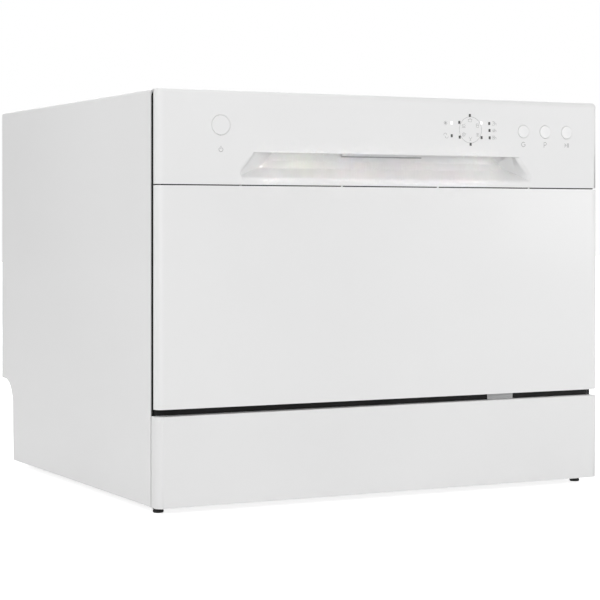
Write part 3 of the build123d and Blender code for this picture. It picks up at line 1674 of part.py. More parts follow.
for wheel_name, side, distance in wheel_places:
    with BuildPart() as rack_wheel:
        wheel_plane = Plane(
            origin=(side * wheel_inner, behind(distance), wheel_level), x_dir=(0, 1, 0), z_dir=(side, 0, 0)
        )
        with BuildSketch(wheel_plane) as rim:
            Circle(wheel_radius)
            Circle(wheel_radius - rim_wall, mode=Mode.SUBTRACT)
            Circle(axle_radius + 2)
            Circle(axle_radius + running_gap, mode=Mode.SUBTRACT)
        extrude(rim.sketch, amount=wheel_width)
        spoke_middle = (axle_radius + 1 + wheel_radius - rim_wall + 1) / 2
        with BuildSketch(wheel_plane.offset(wheel_width / 2 - 1.5)) as spokes:
            with PolarLocations(spoke_middle, 4):
                Rectangle(wheel_radius - rim_wall - axle_radius, 3)
        extrude(spokes.sketch, amount=3)
    rack_wheel.part.label = f"rack_wheel_{wheel_name}"
    export_step(rack_wheel.part, f"parts/rack_wheel_{wheel_name}.step")


# Cup shelf: a wire flap that folds up on the left wall of the rack
shelf_reach = 86.0
shelf_length = 190.0
shelf_wires = 5
shelf_pivot_x = -(rack_half - wire_side - 4.5)
shelf_level = rack_rim + 4.0
shelf_depth = 150.0
hinge_wire = 1.8

with BuildPart() as cup_shelf:
    shelf_start = behind(shelf_depth)
    shelf_pitch = shelf_length / shelf_wires
    shelf_end = shelf_start + shelf_length
    rod((shelf_pivot_x, shelf_start, shelf_level), (shelf_pivot_x, shelf_end, shelf_level), hinge_wire)
    with BuildSketch(Plane.XZ.offset(-shelf_start)) as shelf_rails:
        for place in (0.35, 0.68, 1.0):
            with Locations((shelf_pivot_x + place * shelf_reach, shelf_level)):
                RegularPolygon(rack_wire, 6, rotation=30)
    extrude(shelf_rails.sketch, amount=-shelf_length)
    with BuildSketch(Plane.YZ.offset(shelf_pivot_x)) as shelf_bars:
        with Locations((shelf_start + shelf_length / 2, shelf_level + 1.0)):
            with GridLocations(shelf_pitch, 1, shelf_wires, 1):
                RegularPolygon(rack_wire, 6, rotation=30)
    extrude(shelf_bars.sketch, amount=shelf_reach + rack_wire)
cup_shelf.part.label = "cup_shelf"
export_step(cup_shelf.part, "parts/cup_shelf.step")


# Shelf clips: two moulded hooks on the rim of the rack that the shelf turns in
clip_length = 12.0

with BuildPart() as shelf_clips:
    for start in (28.0, shelf_length - 28 - clip_length):
        clip_y = behind(shelf_depth + start)
        with BuildSketch(Plane.XZ.offset(-clip_y)) as clip_section:
            with Locations((shelf_pivot_x, shelf_level)):
                Circle(hinge_wire + 2)
            with Locations(((shelf_pivot_x - rack_half) / 2, rack_rim + 2.3)):
                Rectangle(rack_half + shelf_pivot_x, 3.0)
            with Locations((shelf_pivot_x, shelf_level)):
                Circle(hinge_wire + running_gap, mode=Mode.SUBTRACT)
                with Locations((4, 4)):
                    Rectangle(8, 8, mode=Mode.SUBTRACT)
        extrude(clip_section.sketch, amount=-clip_length)
shelf_clips.part.label = "shelf_clips"
export_step(shelf_clips.part, "parts/shelf_clips.step")


# Cutlery basket: a moulded box with slotted walls, two partitions and a carrying handle
basket_x = (128.0, 204.0)
basket_d = (96.0, 236.0)
basket_height = 104.0
basket_wall = 2.0
basket_slots = 5
handle_rise = 34.0

with BuildPart() as cutlery_basket:
    basket_low = floor_level + wire_side + rack_wire - wire_sink + seat_gap
    basket_top = basket_low + basket_height
    basket_middle = ((basket_x[0] + basket_x[1]) / 2, behind((basket_d[0] + basket_d[1]) / 2))
    basket_size = (basket_x[1] - basket_x[0], basket_d[1] - basket_d[0])
    with BuildSketch(Plane.XY.offset(basket_low)):
        with Locations(basket_middle):
            RectangleRounded(*basket_size, 8)
    extrude(amount=basket_height)
    offset(amount=-basket_wall, openings=cutlery_basket.faces().sort_by(Axis.Z)[-1])
    slot_pitch = basket_size[1] / basket_slots
    slot_rise = basket_low + basket_height / 2
    with BuildSketch(Plane.YZ.offset(basket_middle[0])) as side_slots:
        with Locations((basket_middle[1], slot_rise)):
            with GridLocations(slot_pitch, basket_height * 0.44, basket_slots, 2):
                RectangleRounded(slot_pitch - 9, basket_height * 0.36, 3)
    extrude(side_slots.sketch, amount=basket_size[0], both=True, mode=Mode.SUBTRACT)
    for place in (-1, 1):
        wall_y = depth / 2 + basket_middle[1] + place * basket_size[1] / 6
        block(
            (basket_x[0] + 0.5, basket_x[1] - 0.5),
            (wall_y - basket_wall / 2, wall_y + basket_wall / 2),
            (basket_low + 1, basket_top - 14),
        )
    # Handle: an arch over the middle
    with BuildSketch(Plane.XZ.offset(-basket_middle[1] - 5)) as handle:
        with BuildLine():
            Polyline(
                [
                    (basket_x[0] - 0.5, basket_top - 24),
                    (basket_x[0] - 0.5, basket_top + handle_rise - 12),
                    (basket_x[0] + 16, basket_top + handle_rise),
                    (basket_x[1] - 16, basket_top + handle_rise),
                    (basket_x[1] + 0.5, basket_top + handle_rise - 12),
                    (basket_x[1] + 0.5, basket_top - 24),
                    (basket_x[1] - 3.5, basket_top - 24),
                    (basket_x[1] - 3.5, basket_top + handle_rise - 14),
                    (basket_x[1] - 17.5, basket_top + handle_rise - 5),
                    (basket_x[0] + 17.5, basket_top + handle_rise - 5),
                    (basket_x[0] + 3.5, basket_top + handle_rise - 14),
                    (basket_x[0] + 3.5, basket_top - 24),
                ],
                close=True,
            )
        make_face()
    extrude(handle.sketch, amount=10)
cutlery_basket.part.label = "cutlery_basket"
export_step(cutlery_basket.part, "parts/cutlery_basket.step")
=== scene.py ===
import json
from math import cos, radians, sin

import bmesh
import bpy
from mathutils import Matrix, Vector


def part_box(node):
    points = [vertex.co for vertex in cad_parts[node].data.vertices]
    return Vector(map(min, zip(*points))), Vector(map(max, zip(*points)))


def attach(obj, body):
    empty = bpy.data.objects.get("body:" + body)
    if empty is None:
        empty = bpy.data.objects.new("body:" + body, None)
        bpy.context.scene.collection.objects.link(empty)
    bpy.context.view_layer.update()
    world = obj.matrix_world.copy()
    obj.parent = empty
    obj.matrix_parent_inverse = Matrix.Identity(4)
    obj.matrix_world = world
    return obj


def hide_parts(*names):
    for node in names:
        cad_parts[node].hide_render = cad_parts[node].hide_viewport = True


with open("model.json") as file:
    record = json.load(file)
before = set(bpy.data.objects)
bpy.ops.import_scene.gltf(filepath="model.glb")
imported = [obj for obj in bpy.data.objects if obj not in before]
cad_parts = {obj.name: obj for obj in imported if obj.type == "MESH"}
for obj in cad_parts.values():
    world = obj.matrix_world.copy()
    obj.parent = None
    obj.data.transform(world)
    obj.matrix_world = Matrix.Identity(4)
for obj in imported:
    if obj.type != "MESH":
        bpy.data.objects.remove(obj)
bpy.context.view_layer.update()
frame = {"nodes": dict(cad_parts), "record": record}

nodes = frame["nodes"]
mm = 0.001
frontFace = -0.25  # Y of the door's outer face
scene = bpy.context.scene


def at(x, back, z):
    # a place in the row frame from millimetres: across, behind the door's face, above the worktop
    return Vector((x * mm, frontFace + back * mm, z * mm))


# camera and studio
shot = {"place": (-1.022976, -2.025245, 0.299294), "turn": -27.185,
        "lens": 112.99, "sensor": 36.0, "rise": -0.12757}

camera = bpy.data.objects.new("shotCamera", bpy.data.cameras.new("shotCamera"))
scene.collection.objects.link(camera)
camera.location = shot["place"]
camera.rotation_euler = (radians(90), 0, radians(shot["turn"]))
camera.data.sensor_width = shot["sensor"]
camera.data.lens = shot["lens"]
camera.data.shift_y = shot["rise"]
scene.camera = camera
scene.view_settings.view_transform = "Standard"


def cameraOnly(tree):
    # 1 where a camera, glossy or transmission ray looks, 0 for the light that falls on things
    path = tree.nodes.new("ShaderNodeLightPath")
    first = tree.nodes.new("ShaderNodeMath"); first.operation = "MAXIMUM"
    second = tree.nodes.new("ShaderNodeMath"); second.operation = "MAXIMUM"
    tree.links.new(path.outputs["Is Camera Ray"], first.inputs[0])
    tree.links.new(path.outputs["Is Glossy Ray"], first.inputs[1])
    tree.links.new(first.outputs[0], second.inputs[0])
    tree.links.new(path.outputs["Is Transmission Ray"], second.inputs[1])
    return second.outputs[0]


def studioWorld(fill, backdrop):
    world = bpy.data.worlds.new("studioWorld")
    scene.world = world
    world.use_nodes = True
    tree = world.node_tree
    tree.nodes.clear()
    out = tree.nodes.new("ShaderNodeOutputWorld")
    mix = tree.nodes.new("ShaderNodeMixShader")
    light = tree.nodes.new("ShaderNodeBackground")
    seen = tree.nodes.new("ShaderNodeBackground")
    light.inputs["Color"].default_value = (1, 1, 1, 1)
    light.inputs["Strength"].default_value = fill
    seen.inputs["Color"].default_value = (1, 1, 1, 1)
    seen.inputs["Strength"].default_value = backdrop
    tree.links.new(cameraOnly(tree), mix.inputs[0])
    tree.links.new(light.outputs[0], mix.inputs[1])
    tree.links.new(seen.outputs[0], mix.inputs[2])
    tree.links.new(mix.outputs[0], out.inputs["Surface"])


def softbox(name, place, target, width, height, watts):
    data = bpy.data.lights.new(name, "AREA")
    data.shape = "RECTANGLE"
    data.size, data.size_y, data.energy = width, height, watts
    lamp = bpy.data.objects.new(name, data)
    scene.collection.objects.link(lamp)
    lamp.location = place
    lamp.rotation_euler = (Vector(target) - Vector(place)).to_track_quat("-Z", "Y").to_euler()
    return lamp


studio = {"fill": 0.31, "backdrop": 1.0, "beamSpread": 1.5, "floorSize": 24, "floorLevel": -0.0004,
          "floorTone": 0.8, "floorGlow": 0.86, "glowRise": 0.4, "riseFrom": 2.0, "riseTo": 9.0}
studioWorld(studio["fill"], studio["backdrop"])
softbox("frontLeftPanel", (-1.2, -2.8, 0.8), (0.0, -0.2, 0.3), 1.8, 1.4, 14)
softbox("frontRightPanel", (2.4, -2.2, 0.9), (0.0, -0.2, 0.3), 1.8, 1.4, 33)
softbox("leftPanel", (-2.2, -1.1, 1.4), (-0.1, -0.1, 0.3), 1.8, 1.4, 25)
softbox("topPanel", (0.0, 0.3, 2.8), (0.0, 0.0, 0.2), 2.6, 2.6, 18)
softbox("rearPanel", (1.2, 2.8, 1.3), (0.0, 0.1, 0.2), 2.6, 1.8, 26)
# a narrow strip of light that reaches only into the handle recess
recessBeam = softbox("recessBeam", (0.0, -1.75, 0.345), (0.0, -0.25, 0.359), 0.32, 0.02, 0.012)
recessBeam.data.spread = radians(studio["beamSpread"])
print("camera and studio ready")


# shader groups that several materials share
def newGroup(name, inputs, outputs):
    group = bpy.data.node_groups.new(name, "ShaderNodeTree")
    for label, kind, value in inputs:
        socket = group.interface.new_socket(name=label, in_out="INPUT", socket_type=kind)
        if value is not None:
            socket.default_value = value
    for label, kind in outputs:
        group.interface.new_socket(name=label, in_out="OUTPUT", socket_type=kind)
    return group, group.nodes.new("NodeGroupInput"), group.nodes.new("NodeGroupOutput")


def noiseInto(tree, vector, scale, detail, rough=0.5):
    noise = tree.nodes.new("ShaderNodeTexNoise")
    noise.inputs["Detail"].default_value = detail
    noise.inputs["Roughness"].default_value = rough
    tree.links.new(vector, noise.inputs["Vector"])
    if isinstance(scale, (int, float)):
        noise.inputs["Scale"].default_value = scale
    else:
        tree.links.new(scale, noise.inputs["Scale"])
    return noise.outputs["Fac"]


def mathInto(tree, operation, first, second=None, clamp=False):
    node = tree.nodes.new("ShaderNodeMath")
    node.operation = operation
    node.use_clamp = clamp
    for slot, value in enumerate((first, second)):
        if isinstance(value, (int, float)):
            node.inputs[slot].default_value = value
        elif value is not None:
            tree.links.new(value, node.inputs[slot])
    return node.outputs[0]


def mixInto(tree, amount, first, second):
    node = tree.nodes.new("ShaderNodeMix")
    node.data_type = "RGBA"
    for socket, value in ((node.inputs[0], amount), (node.inputs[6], first), (node.inputs[7], second)):
        if isinstance(value, (int, float, tuple)):
            socket.default_value = value
        else:
            tree.links.new(value, socket)
    return node.outputs[2]


def rangeInto(tree, value, low, high, newLow, newHigh):
    node = tree.nodes.new("ShaderNodeMapRange")
    for socket, number in (("From Min", low), ("From Max", high), ("To Min", newLow), ("To Max", newHigh)):
        node.inputs[socket].default_value = number
    tree.links.new(value, node.inputs["Value"])
    return node.outputs["Result"]


def buildSkin():
    # orange peel of a sprayed or moulded surface, with a slow drift of tone and gloss under it
    group, start, end = newGroup(
        "surfaceSkin",
        [("Vector", "NodeSocketVector", None), ("Peel Scale", "NodeSocketFloat", 900.0),
         ("Drift Scale", "NodeSocketFloat", 6.0), ("Dark", "NodeSocketColor", (0.7, 0.7, 0.7, 1)),
         ("Pale", "NodeSocketColor", (0.8, 0.8, 0.8, 1))],
        [("Colour", "NodeSocketColor"), ("Height", "NodeSocketFloat"), ("Gloss", "NodeSocketFloat")],
    )
    drift = noiseInto(group, start.outputs["Vector"], start.outputs["Drift Scale"], 3)
    drift = rangeInto(group, drift, 0.32, 0.68, 0, 1)
    peel = noiseInto(group, start.outputs["Vector"], start.outputs["Peel Scale"], 2)
    smear = mathInto(group, "MULTIPLY", start.outputs["Drift Scale"], 4.0)
    gloss = noiseInto(group, start.outputs["Vector"], smear, 4, 0.6)
    group.links.new(mixInto(group, drift, start.outputs["Dark"], start.outputs["Pale"]), end.inputs["Colour"])
    group.links.new(peel, end.inputs["Height"])
    group.links.new(rangeInto(group, gloss, 0.3, 0.7, 0, 1), end.inputs["Gloss"])
    return group


def buildBrush():
    # long fine lines of a brushed or drawn metal sheet
    group, start, end = newGroup(
        "drawnLines",
        [("Vector", "NodeSocketVector", None), ("Stretch", "NodeSocketVector", (4.0, 400.0, 400.0)),
         ("Cloud Scale", "NodeSocketFloat", 9.0)],
        [("Lines", "NodeSocketFloat"), ("Cloud", "NodeSocketFloat")],
    )
    stretched = group.nodes.new("ShaderNodeVectorMath")
    stretched.operation = "MULTIPLY"
    group.links.new(start.outputs["Vector"], stretched.inputs[0])
    group.links.new(start.outputs["Stretch"], stretched.inputs[1])
    group.links.new(noiseInto(group, stretched.outputs[0], 1.0, 4, 0.65), end.inputs["Lines"])
    cloud = noiseInto(group, start.outputs["Vector"], start.outputs["Cloud Scale"], 3)
    group.links.new(rangeInto(group, cloud, 0.3, 0.7, 0, 1), end.inputs["Cloud"])
    return group


def buildDust():
    # a thin veil that settles on what faces up, broken by noise
    group, start, end = newGroup(
        "settledDust",
        [("Vector", "NodeSocketVector", None), ("Clean", "NodeSocketColor", (0.8, 0.8, 0.8, 1)),
         ("Dust", "NodeSocketColor", (0.55, 0.53, 0.5, 1)), ("Amount", "NodeSocketFloat", 0.06)],
        [("Colour", "NodeSocketColor")],
    )
    geometry = group.nodes.new("ShaderNodeNewGeometry")
    split = group.nodes.new("ShaderNodeSeparateXYZ")
    group.links.new(geometry.outputs["Normal"], split.inputs[0])
    facing = mathInto(group, "MAXIMUM", split.outputs["Z"], 0.0)
    specks = noiseInto(group, start.outputs["Vector"], 38.0, 5, 0.7)
    veil = mathInto(group, "MULTIPLY", facing, rangeInto(group, specks, 0.42, 0.75, 0.2, 1))
    veil = mathInto(group, "MULTIPLY", veil, start.outputs["Amount"], clamp=True)
    group.links.new(mixInto(group, veil, start.outputs["Clean"], start.outputs["Dust"]), end.inputs["Colour"])
    return group


def buildSpangle():
    # the crystal flowers of hot-dip zinc
    group, start, end = newGroup(
        "zincSpangle",
        [("Vector", "NodeSocketVector", None), ("Scale", "NodeSocketFloat", 70.0)],
        [("Flowers", "NodeSocketFloat"), ("Edges", "NodeSocketFloat")],
    )
    flowers = group.nodes.new("ShaderNodeTexVoronoi")
    edges = group.nodes.new("ShaderNodeTexVoronoi")
    edges.feature = "DISTANCE_TO_EDGE"
    for cells in (flowers, edges):
        group.links.new(start.outputs["Vector"], cells.inputs["Vector"])
        group.links.new(start.outputs["Scale"], cells.inputs["Scale"])
    tone = group.nodes.new("ShaderNodeSeparateColor")
    group.links.new(flowers.outputs["Color"], tone.inputs[0])
    group.links.new(tone.outputs[0], end.inputs["Flowers"])
    group.links.new(rangeInto(group, edges.outputs["Distance"], 0, 0.06, 0, 1), end.inputs["Edges"])
    return group


skinGroup, brushGroup, dustGroup, spangleGroup = buildSkin(), buildBrush(), buildDust(), buildSpangle()


# materials
def grey(value, tint=0.0):
    # a neutral colour from its screen value, 0 to 255, slightly cool where tint is above 0
    level = value / 255
    linear = level / 12.92 if level <= 0.04045 else ((level + 0.055) / 1.055) ** 2.4
    return (linear * (1 - tint), linear, linear * (1 + tint), 1)


def openMaterial(name):
    material = bpy.data.materials.new(name)
    material.use_nodes = True
    tree = material.node_tree
    coords = tree.nodes.new("ShaderNodeTexCoord").outputs["Object"]
    return material, tree, tree.nodes["Principled BSDF"], coords


def place(tree, group, values):
    node = tree.nodes.new("ShaderNodeGroup")
    node.node_tree = group
    for label, value in values.items():
        if isinstance(value, bpy.types.NodeSocket):
            tree.links.new(value, node.inputs[label])
        else:
            node.inputs[label].default_value = value
    return node


def bumpInto(tree, shader, height, strength, distance):
    bump = tree.nodes.new("ShaderNodeBump")
    bump.inputs["Strength"].default_value = strength
    bump.inputs["Distance"].default_value = distance
    tree.links.new(height, bump.inputs["Height"])
    tree.links.new(bump.outputs[0], shader.inputs["Normal"])


def skinned(name, dark, pale, rough, peel, drift, bump, dust, coat=0.0, sheen=0.5):
    # painted and moulded finishes: peel gives the scale of the texture, rough its two gloss levels
    material, tree, shader, coords = openMaterial(name)
    skin = place(tree, skinGroup, {"Vector": coords, "Peel Scale": peel, "Drift Scale": drift,
                                   "Dark": dark, "Pale": pale})
    veil = place(tree, dustGroup, {"Vector": coords, "Clean": skin.outputs["Colour"], "Amount": dust})
    tree.links.new(veil.outputs["Colour"], shader.inputs["Base Color"])
    tree.links.new(rangeInto(tree, skin.outputs["Gloss"], 0, 1, *rough), shader.inputs["Roughness"])
    bumpInto(tree, shader, skin.outputs["Height"], bump, 0.0004)
    shader.inputs["Specular IOR Level"].default_value = sheen
    shader.inputs["Coat Weight"].default_value = coat
    shader.inputs["Coat Roughness"].default_value = 0.12
    return material


def drawn(name, dark, pale, rough, stretch, bump):
    # drawn or brushed metal
    material, tree, shader, coords = openMaterial(name)
    brush = place(tree, brushGroup, {"Vector": coords, "Stretch": stretch})
    tone = mathInto(tree, "ADD", mathInto(tree, "MULTIPLY", brush.outputs["Lines"], 0.6),
                    mathInto(tree, "MULTIPLY", brush.outputs["Cloud"], 0.4), clamp=True)
    tree.links.new(mixInto(tree, tone, dark, pale), shader.inputs["Base Color"])
    tree.links.new(rangeInto(tree, tone, 0.2, 0.8, *rough), shader.inputs["Roughness"])
    bumpInto(tree, shader, brush.outputs["Lines"], bump, 0.0003)
    shader.inputs["Metallic"].default_value = 1.0
    return material


def zinc(name, dark, pale):
    # hot-dip zinc on sheet steel
    material, tree, shader, coords = openMaterial(name)
    flowers = place(tree, spangleGroup, {"Vector": coords, "Scale": 150.0})
    fine = place(tree, brushGroup, {"Vector": coords, "Stretch": (60.0, 60.0, 240.0)})
    tone = mathInto(tree, "ADD", mathInto(tree, "MULTIPLY", flowers.outputs["Flowers"], 0.7),
                    mathInto(tree, "MULTIPLY", fine.outputs["Lines"], 0.3), clamp=True)
    tree.links.new(mixInto(tree, tone, dark, pale), shader.inputs["Base Color"])
    tree.links.new(rangeInto(tree, tone, 0, 1, 0.5, 0.3), shader.inputs["Roughness"])
    bumpInto(tree, shader, flowers.outputs["Edges"], 0.12, 0.0002)
    shader.inputs["Metallic"].default_value = 0.9
    return material


def circuitBoard(name):
    # green lacquer over copper tracks, drawn by a brick pattern turned to face the front
    material, tree, shader, coords = openMaterial(name)
    tracks = tree.nodes.new("ShaderNodeTexBrick")
    tracks.inputs["Scale"].default_value = 160.0
    tracks.inputs["Mortar Size"].default_value = 0.012
    tracks.inputs["Color1"].default_value = (0.02, 0.12, 0.05, 1)
    tracks.inputs["Color2"].default_value = (0.03, 0.16, 0.07, 1)
    tracks.inputs["Mortar"].default_value = (0.2, 0.28, 0.08, 1)
    turned = tree.nodes.new("ShaderNodeMapping")
    turned.inputs["Rotation"].default_value = (radians(90), 0, 0)
    tree.links.new(coords, turned.inputs["Vector"])
    tree.links.new(turned.outputs[0], tracks.inputs["Vector"])
    veil = place(tree, dustGroup, {"Vector": coords, "Clean": tracks.outputs["Color"], "Amount": 0.15})
    tree.links.new(veil.outputs["Colour"], shader.inputs["Base Color"])
    bumpInto(tree, shader, tracks.outputs["Fac"], 0.2, 0.0002)
    shader.inputs["Roughness"].default_value = 0.3
    return material


def lampWindow(name, base, glow):
    # a small moulded light window, lit from behind where glow is above 0
    material, tree, shader, coords = openMaterial(name)
    skin = place(tree, skinGroup, {"Vector": coords, "Peel Scale": 1400.0, "Drift Scale": 60.0,
                                   "Dark": base, "Pale": tuple(min(1, c * 1.3) for c in base[:3]) + (1,)})
    tree.links.new(skin.outputs["Colour"], shader.inputs["Base Color"])
    tree.links.new(rangeInto(tree, skin.outputs["Gloss"], 0, 1, 0.16, 0.26), shader.inputs["Roughness"])
    bumpInto(tree, shader, skin.outputs["Height"], 0.05, 0.0002)
    if glow:
        tree.links.new(skin.outputs["Colour"], shader.inputs["Emission Color"])
        shader.inputs["Emission Strength"].default_value = glow
    return material


finish = {
    "cabinet_paint": skinned("cabinetPaint", grey(226), grey(230), (0.42, 0.5), 1100.0, 3.0, 0.05, 0.03, 0.15),
    "door_paint": skinned("doorPaint", grey(230), grey(233), (0.3, 0.36), 800.0, 3.0, 0.03, 0.02, 0.2),
    "console_plastic": skinned("consolePlastic", grey(230), grey(233), (0.42, 0.5), 1500.0, 4.0, 0.05, 0.03),
    "plinth_plastic": skinned("plinthPlastic", grey(229), grey(233), (0.45, 0.55), 1300.0, 4.0, 0.06, 0.05),
    "button_plastic": skinned("buttonPlastic", grey(232), grey(235), (0.28, 0.36), 1700.0, 20.0, 0.03, 0.02),
    "stainless": drawn("stainlessSheet", grey(188), grey(208), (0.3, 0.4), (5.0, 420.0, 420.0), 0.05),
    "galvanised": zinc("galvanisedSheet", grey(172, 0.01), grey(194, 0.01)),
    "spring_steel": drawn("springSteel", grey(120), grey(165), (0.25, 0.42), (260.0, 40.0, 40.0), 0.05),
    "black_plastic": skinned("blackPlastic", grey(12), grey(20), (0.5, 0.66),
                             1200.0, 9.0, 0.12, 0.04, 0.0, 0.25),
    "grey_plastic": skinned("greyPlastic", grey(150, 0.01), grey(162, 0.01), (0.4, 0.55),
                            1300.0, 9.0, 0.1, 0.05),
    "pale_plastic": skinned("palePlastic", grey(205, 0.005), grey(214, 0.005), (0.35, 0.48),
                            1400.0, 8.0, 0.08, 0.04),
    "rack_coating": skinned("rackCoating", grey(196, 0.01), grey(208, 0.01), (0.24, 0.36),
                            700.0, 14.0, 0.14, 0.03, 0.1),
    "rubber": skinned("mouldedRubber", grey(30), grey(42), (0.6, 0.75),
                      1600.0, 14.0, 0.15, 0.12, 0.0, 0.35),
    "gasket_rubber": skinned("gasketRubber", grey(108), grey(122), (0.5, 0.66),
                             1500.0, 10.0, 0.12, 0.05, 0.0, 0.4),
    "window_plastic": lampWindow("darkWindow", grey(58), 0.0),
    "board_green": circuitBoard("circuitBoard"),
}
litWindow = lampWindow("litWindow", grey(242), 0.45)
printInk = skinned("printInk", grey(150), grey(165), (0.4, 0.5), 1500.0, 30.0, 0.05, 0.0)


def studioFloor():
    # camera rays see it almost as white as the background, and it keeps the object's shadow
    tone, glow = studio["floorTone"], studio["floorGlow"]
    material, tree, shader, coords = openMaterial("studioFloor")
    drift = noiseInto(tree, coords, 2.0, 3)
    tree.links.new(mixInto(tree, drift, (tone * 0.99,) * 3 + (1,), (tone,) * 3 + (1,)), shader.inputs["Base Color"])
    shader.inputs["Roughness"].default_value = 0.9
    shader.inputs["Specular IOR Level"].default_value = 0.1
    shine = tree.nodes.new("ShaderNodeEmission")
    away = tree.nodes.new("ShaderNodeVectorMath")
    away.operation = "LENGTH"
    tree.links.new(coords, away.inputs[0])
    lift = rangeInto(tree, away.outputs["Value"], studio["riseFrom"], studio["riseTo"],
                     glow, glow + studio["glowRise"])  # the softboxes fade with distance
    tree.links.new(mathInto(tree, "MULTIPLY", cameraOnly(tree), lift), shine.inputs["Strength"])
    both = tree.nodes.new("ShaderNodeAddShader")
    tree.links.new(shader.outputs[0], both.inputs[0])
    tree.links.new(shine.outputs[0], both.inputs[1])
    tree.links.new(both.outputs[0], tree.nodes["Material Output"].inputs["Surface"])
    return material


bpy.ops.mesh.primitive_plane_add(size=studio["floorSize"], location=(0, 0, studio["floorLevel"]))
floor = bpy.context.object
floor.name = "floorSheet"
floor.data.materials.append(studioFloor())
print("materials ready")

slotOf = {part["node"]: part["material_slot"] for part in frame["record"]["subparts"]}
bodyOf = {node: body for body, members in frame["record"]["behaviour"]["bodies"].items() for node in members}
for nodeName, node in nodes.items():
    node.data.materials.clear()
    node.data.materials.append(finish[slotOf[nodeName]])
print("CAD nodes have their finishes")


# working habits: everything is deselected before a tool acts
def only(piece):
    if bpy.context.object and bpy.context.object.mode != "OBJECT":
        bpy.ops.object.mode_set(mode="OBJECT")
    bpy.ops.object.select_all(action="DESELECT")
    piece.select_set(True)
    bpy.context.view_layer.objects.active = piece


def edit(piece, start="DESELECT"):
    # edit mode with nothing selected, or with all of it where start is SELECT
    only(piece)
    bpy.ops.object.mode_set(mode="EDIT")
    bpy.ops.mesh.select_all(action=start)


def leaveEdit():
    bpy.ops.object.mode_set(mode="OBJECT")


def pick(piece, kind, test):
    # selects the points and faces whose middle and normal pass the test, or edges by middle and direction
    bpy.ops.mesh.select_mode(type=kind)
    bpy.ops.mesh.select_all(action="DESELECT")
    mesh = bmesh.from_edit_mesh(piece.data)
    if kind == "FACE":
        for face in mesh.faces:
            face.select_set(bool(test(face.calc_center_median(), face.normal)))
    elif kind == "EDGE":
        for edge in mesh.edges:
            middle = (edge.verts[0].co + edge.verts[1].co) / 2
            edge.select_set(bool(test(middle, edge.verts[1].co - edge.verts[0].co)))
    else:
        for vert in mesh.verts:
            vert.select_set(bool(test(vert.co, vert.normal)))
    mesh.select_flush_mode()
    bmesh.update_edit_mesh(piece.data)


def roundEdges(width, steps):
    # bevels what is selected, its width in mm
    bpy.ops.mesh.bevel(offset=width * mm, segments=steps, affect="EDGES")


def pushOut(shift):
    bpy.ops.mesh.extrude_region_move(TRANSFORM_OT_translate={"value": shift})


def nudged(piece, test, shift):
    # the points that pass the test are moved a little
    edit(piece)
    pick(piece, "VERT", test)
    bpy.ops.transform.translate(value=shift)
    leaveEdit()
    return piece


def applyPlace(piece):
    only(piece)
    bpy.ops.object.transform_apply(location=True, rotation=True, scale=True)


def copyAt(piece, offset):
    copied = piece.copy()
    copied.data = piece.data.copy()
    scene.collection.objects.link(copied)
    only(copied)
    bpy.ops.transform.translate(value=offset)
    applyPlace(copied)
    return copied


def rowOf(piece, count, pitch):
    # a piece and its copies, one pitch after the other
    return [piece] + [copyAt(piece, Vector(pitch) * step * mm) for step in range(1, count)]


def joined(parts):
    only(parts[0])
    for part in parts:
        part.select_set(True)
    bpy.ops.object.join()
    return bpy.context.object


def modified(piece, kind, **settings):
    only(piece)
    modifier = piece.modifiers.new(kind.lower(), kind)
    for label, value in settings.items():
        setattr(modifier, label, value)
    bpy.ops.object.modifier_apply(modifier=modifier.name)
    return piece


def levelled(piece):
    # large flat faces stay flat beside round ones
    return modified(piece, "WEIGHTED_NORMAL", keep_sharp=True, weight=100)


def cutOut(piece, cutter):
    modified(piece, "BOOLEAN", operation="DIFFERENCE", object=cutter, solver="EXACT")
    bpy.data.objects.remove(cutter)


def turnedOut(piece):
    # merges doubles and faces the mesh outwards
    edit(piece, "SELECT")
    bpy.ops.mesh.remove_doubles(threshold=0.00002)
    bpy.ops.mesh.normals_make_consistent(inside=False)
    leaveEdit()
    return piece


def capped(piece):
    # open ends are filled
    edit(piece, "SELECT")
    bpy.ops.mesh.fill_holes(sides=0)
    leaveEdit()
    return piece


def done(piece, name, body, slot, replaced=(), smooth=35, material=None):
    applyPlace(piece)
    bpy.ops.object.shade_smooth_by_angle(angle=radians(smooth))
    piece.name = name
    piece.data.name = name
    piece.data.materials.clear()
    piece.data.materials.append(material or finish[slot])
    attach(piece, body)
    if replaced:
        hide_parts(*replaced)
    return piece


def takesOver(piece, name, nodeName, smooth=35, material=None):
    # the piece stands in for one CAD node, on its body and in its slot
    return done(piece, name, bodyOf[nodeName], slotOf[nodeName], [nodeName], smooth, material)


def drawLine(points, closed=False, bend=0.0, bendSteps=4):
    # one point is extruded along the run, and its corners are bevelled round
    bpy.ops.object.select_all(action="DESELECT")
    bpy.ops.mesh.primitive_plane_add(size=0.001, location=points[0])
    line = bpy.context.object
    applyPlace(line)
    edit(line)
    bpy.ops.mesh.select_mode(type="VERT")
    bpy.ops.mesh.select_all(action="SELECT")
    bpy.ops.mesh.merge(type="CENTER")
    run = list(points) + ([points[0]] if closed else [])
    for before, after in zip(run, run[1:]):
        pushOut(Vector(after) - Vector(before))
    if closed:
        bpy.ops.mesh.select_all(action="SELECT")
        bpy.ops.mesh.remove_doubles(threshold=0.000005)
    if bend:
        ends = () if closed else (Vector(points[0]), Vector(points[-1]))
        pick(line, "VERT", lambda co, normal: all((co - end).length > 1e-5 for end in ends))
        bpy.ops.mesh.bevel(offset=bend, segments=bendSteps, affect="VERTICES", clamp_overlap=True)
    leaveEdit()
    return line


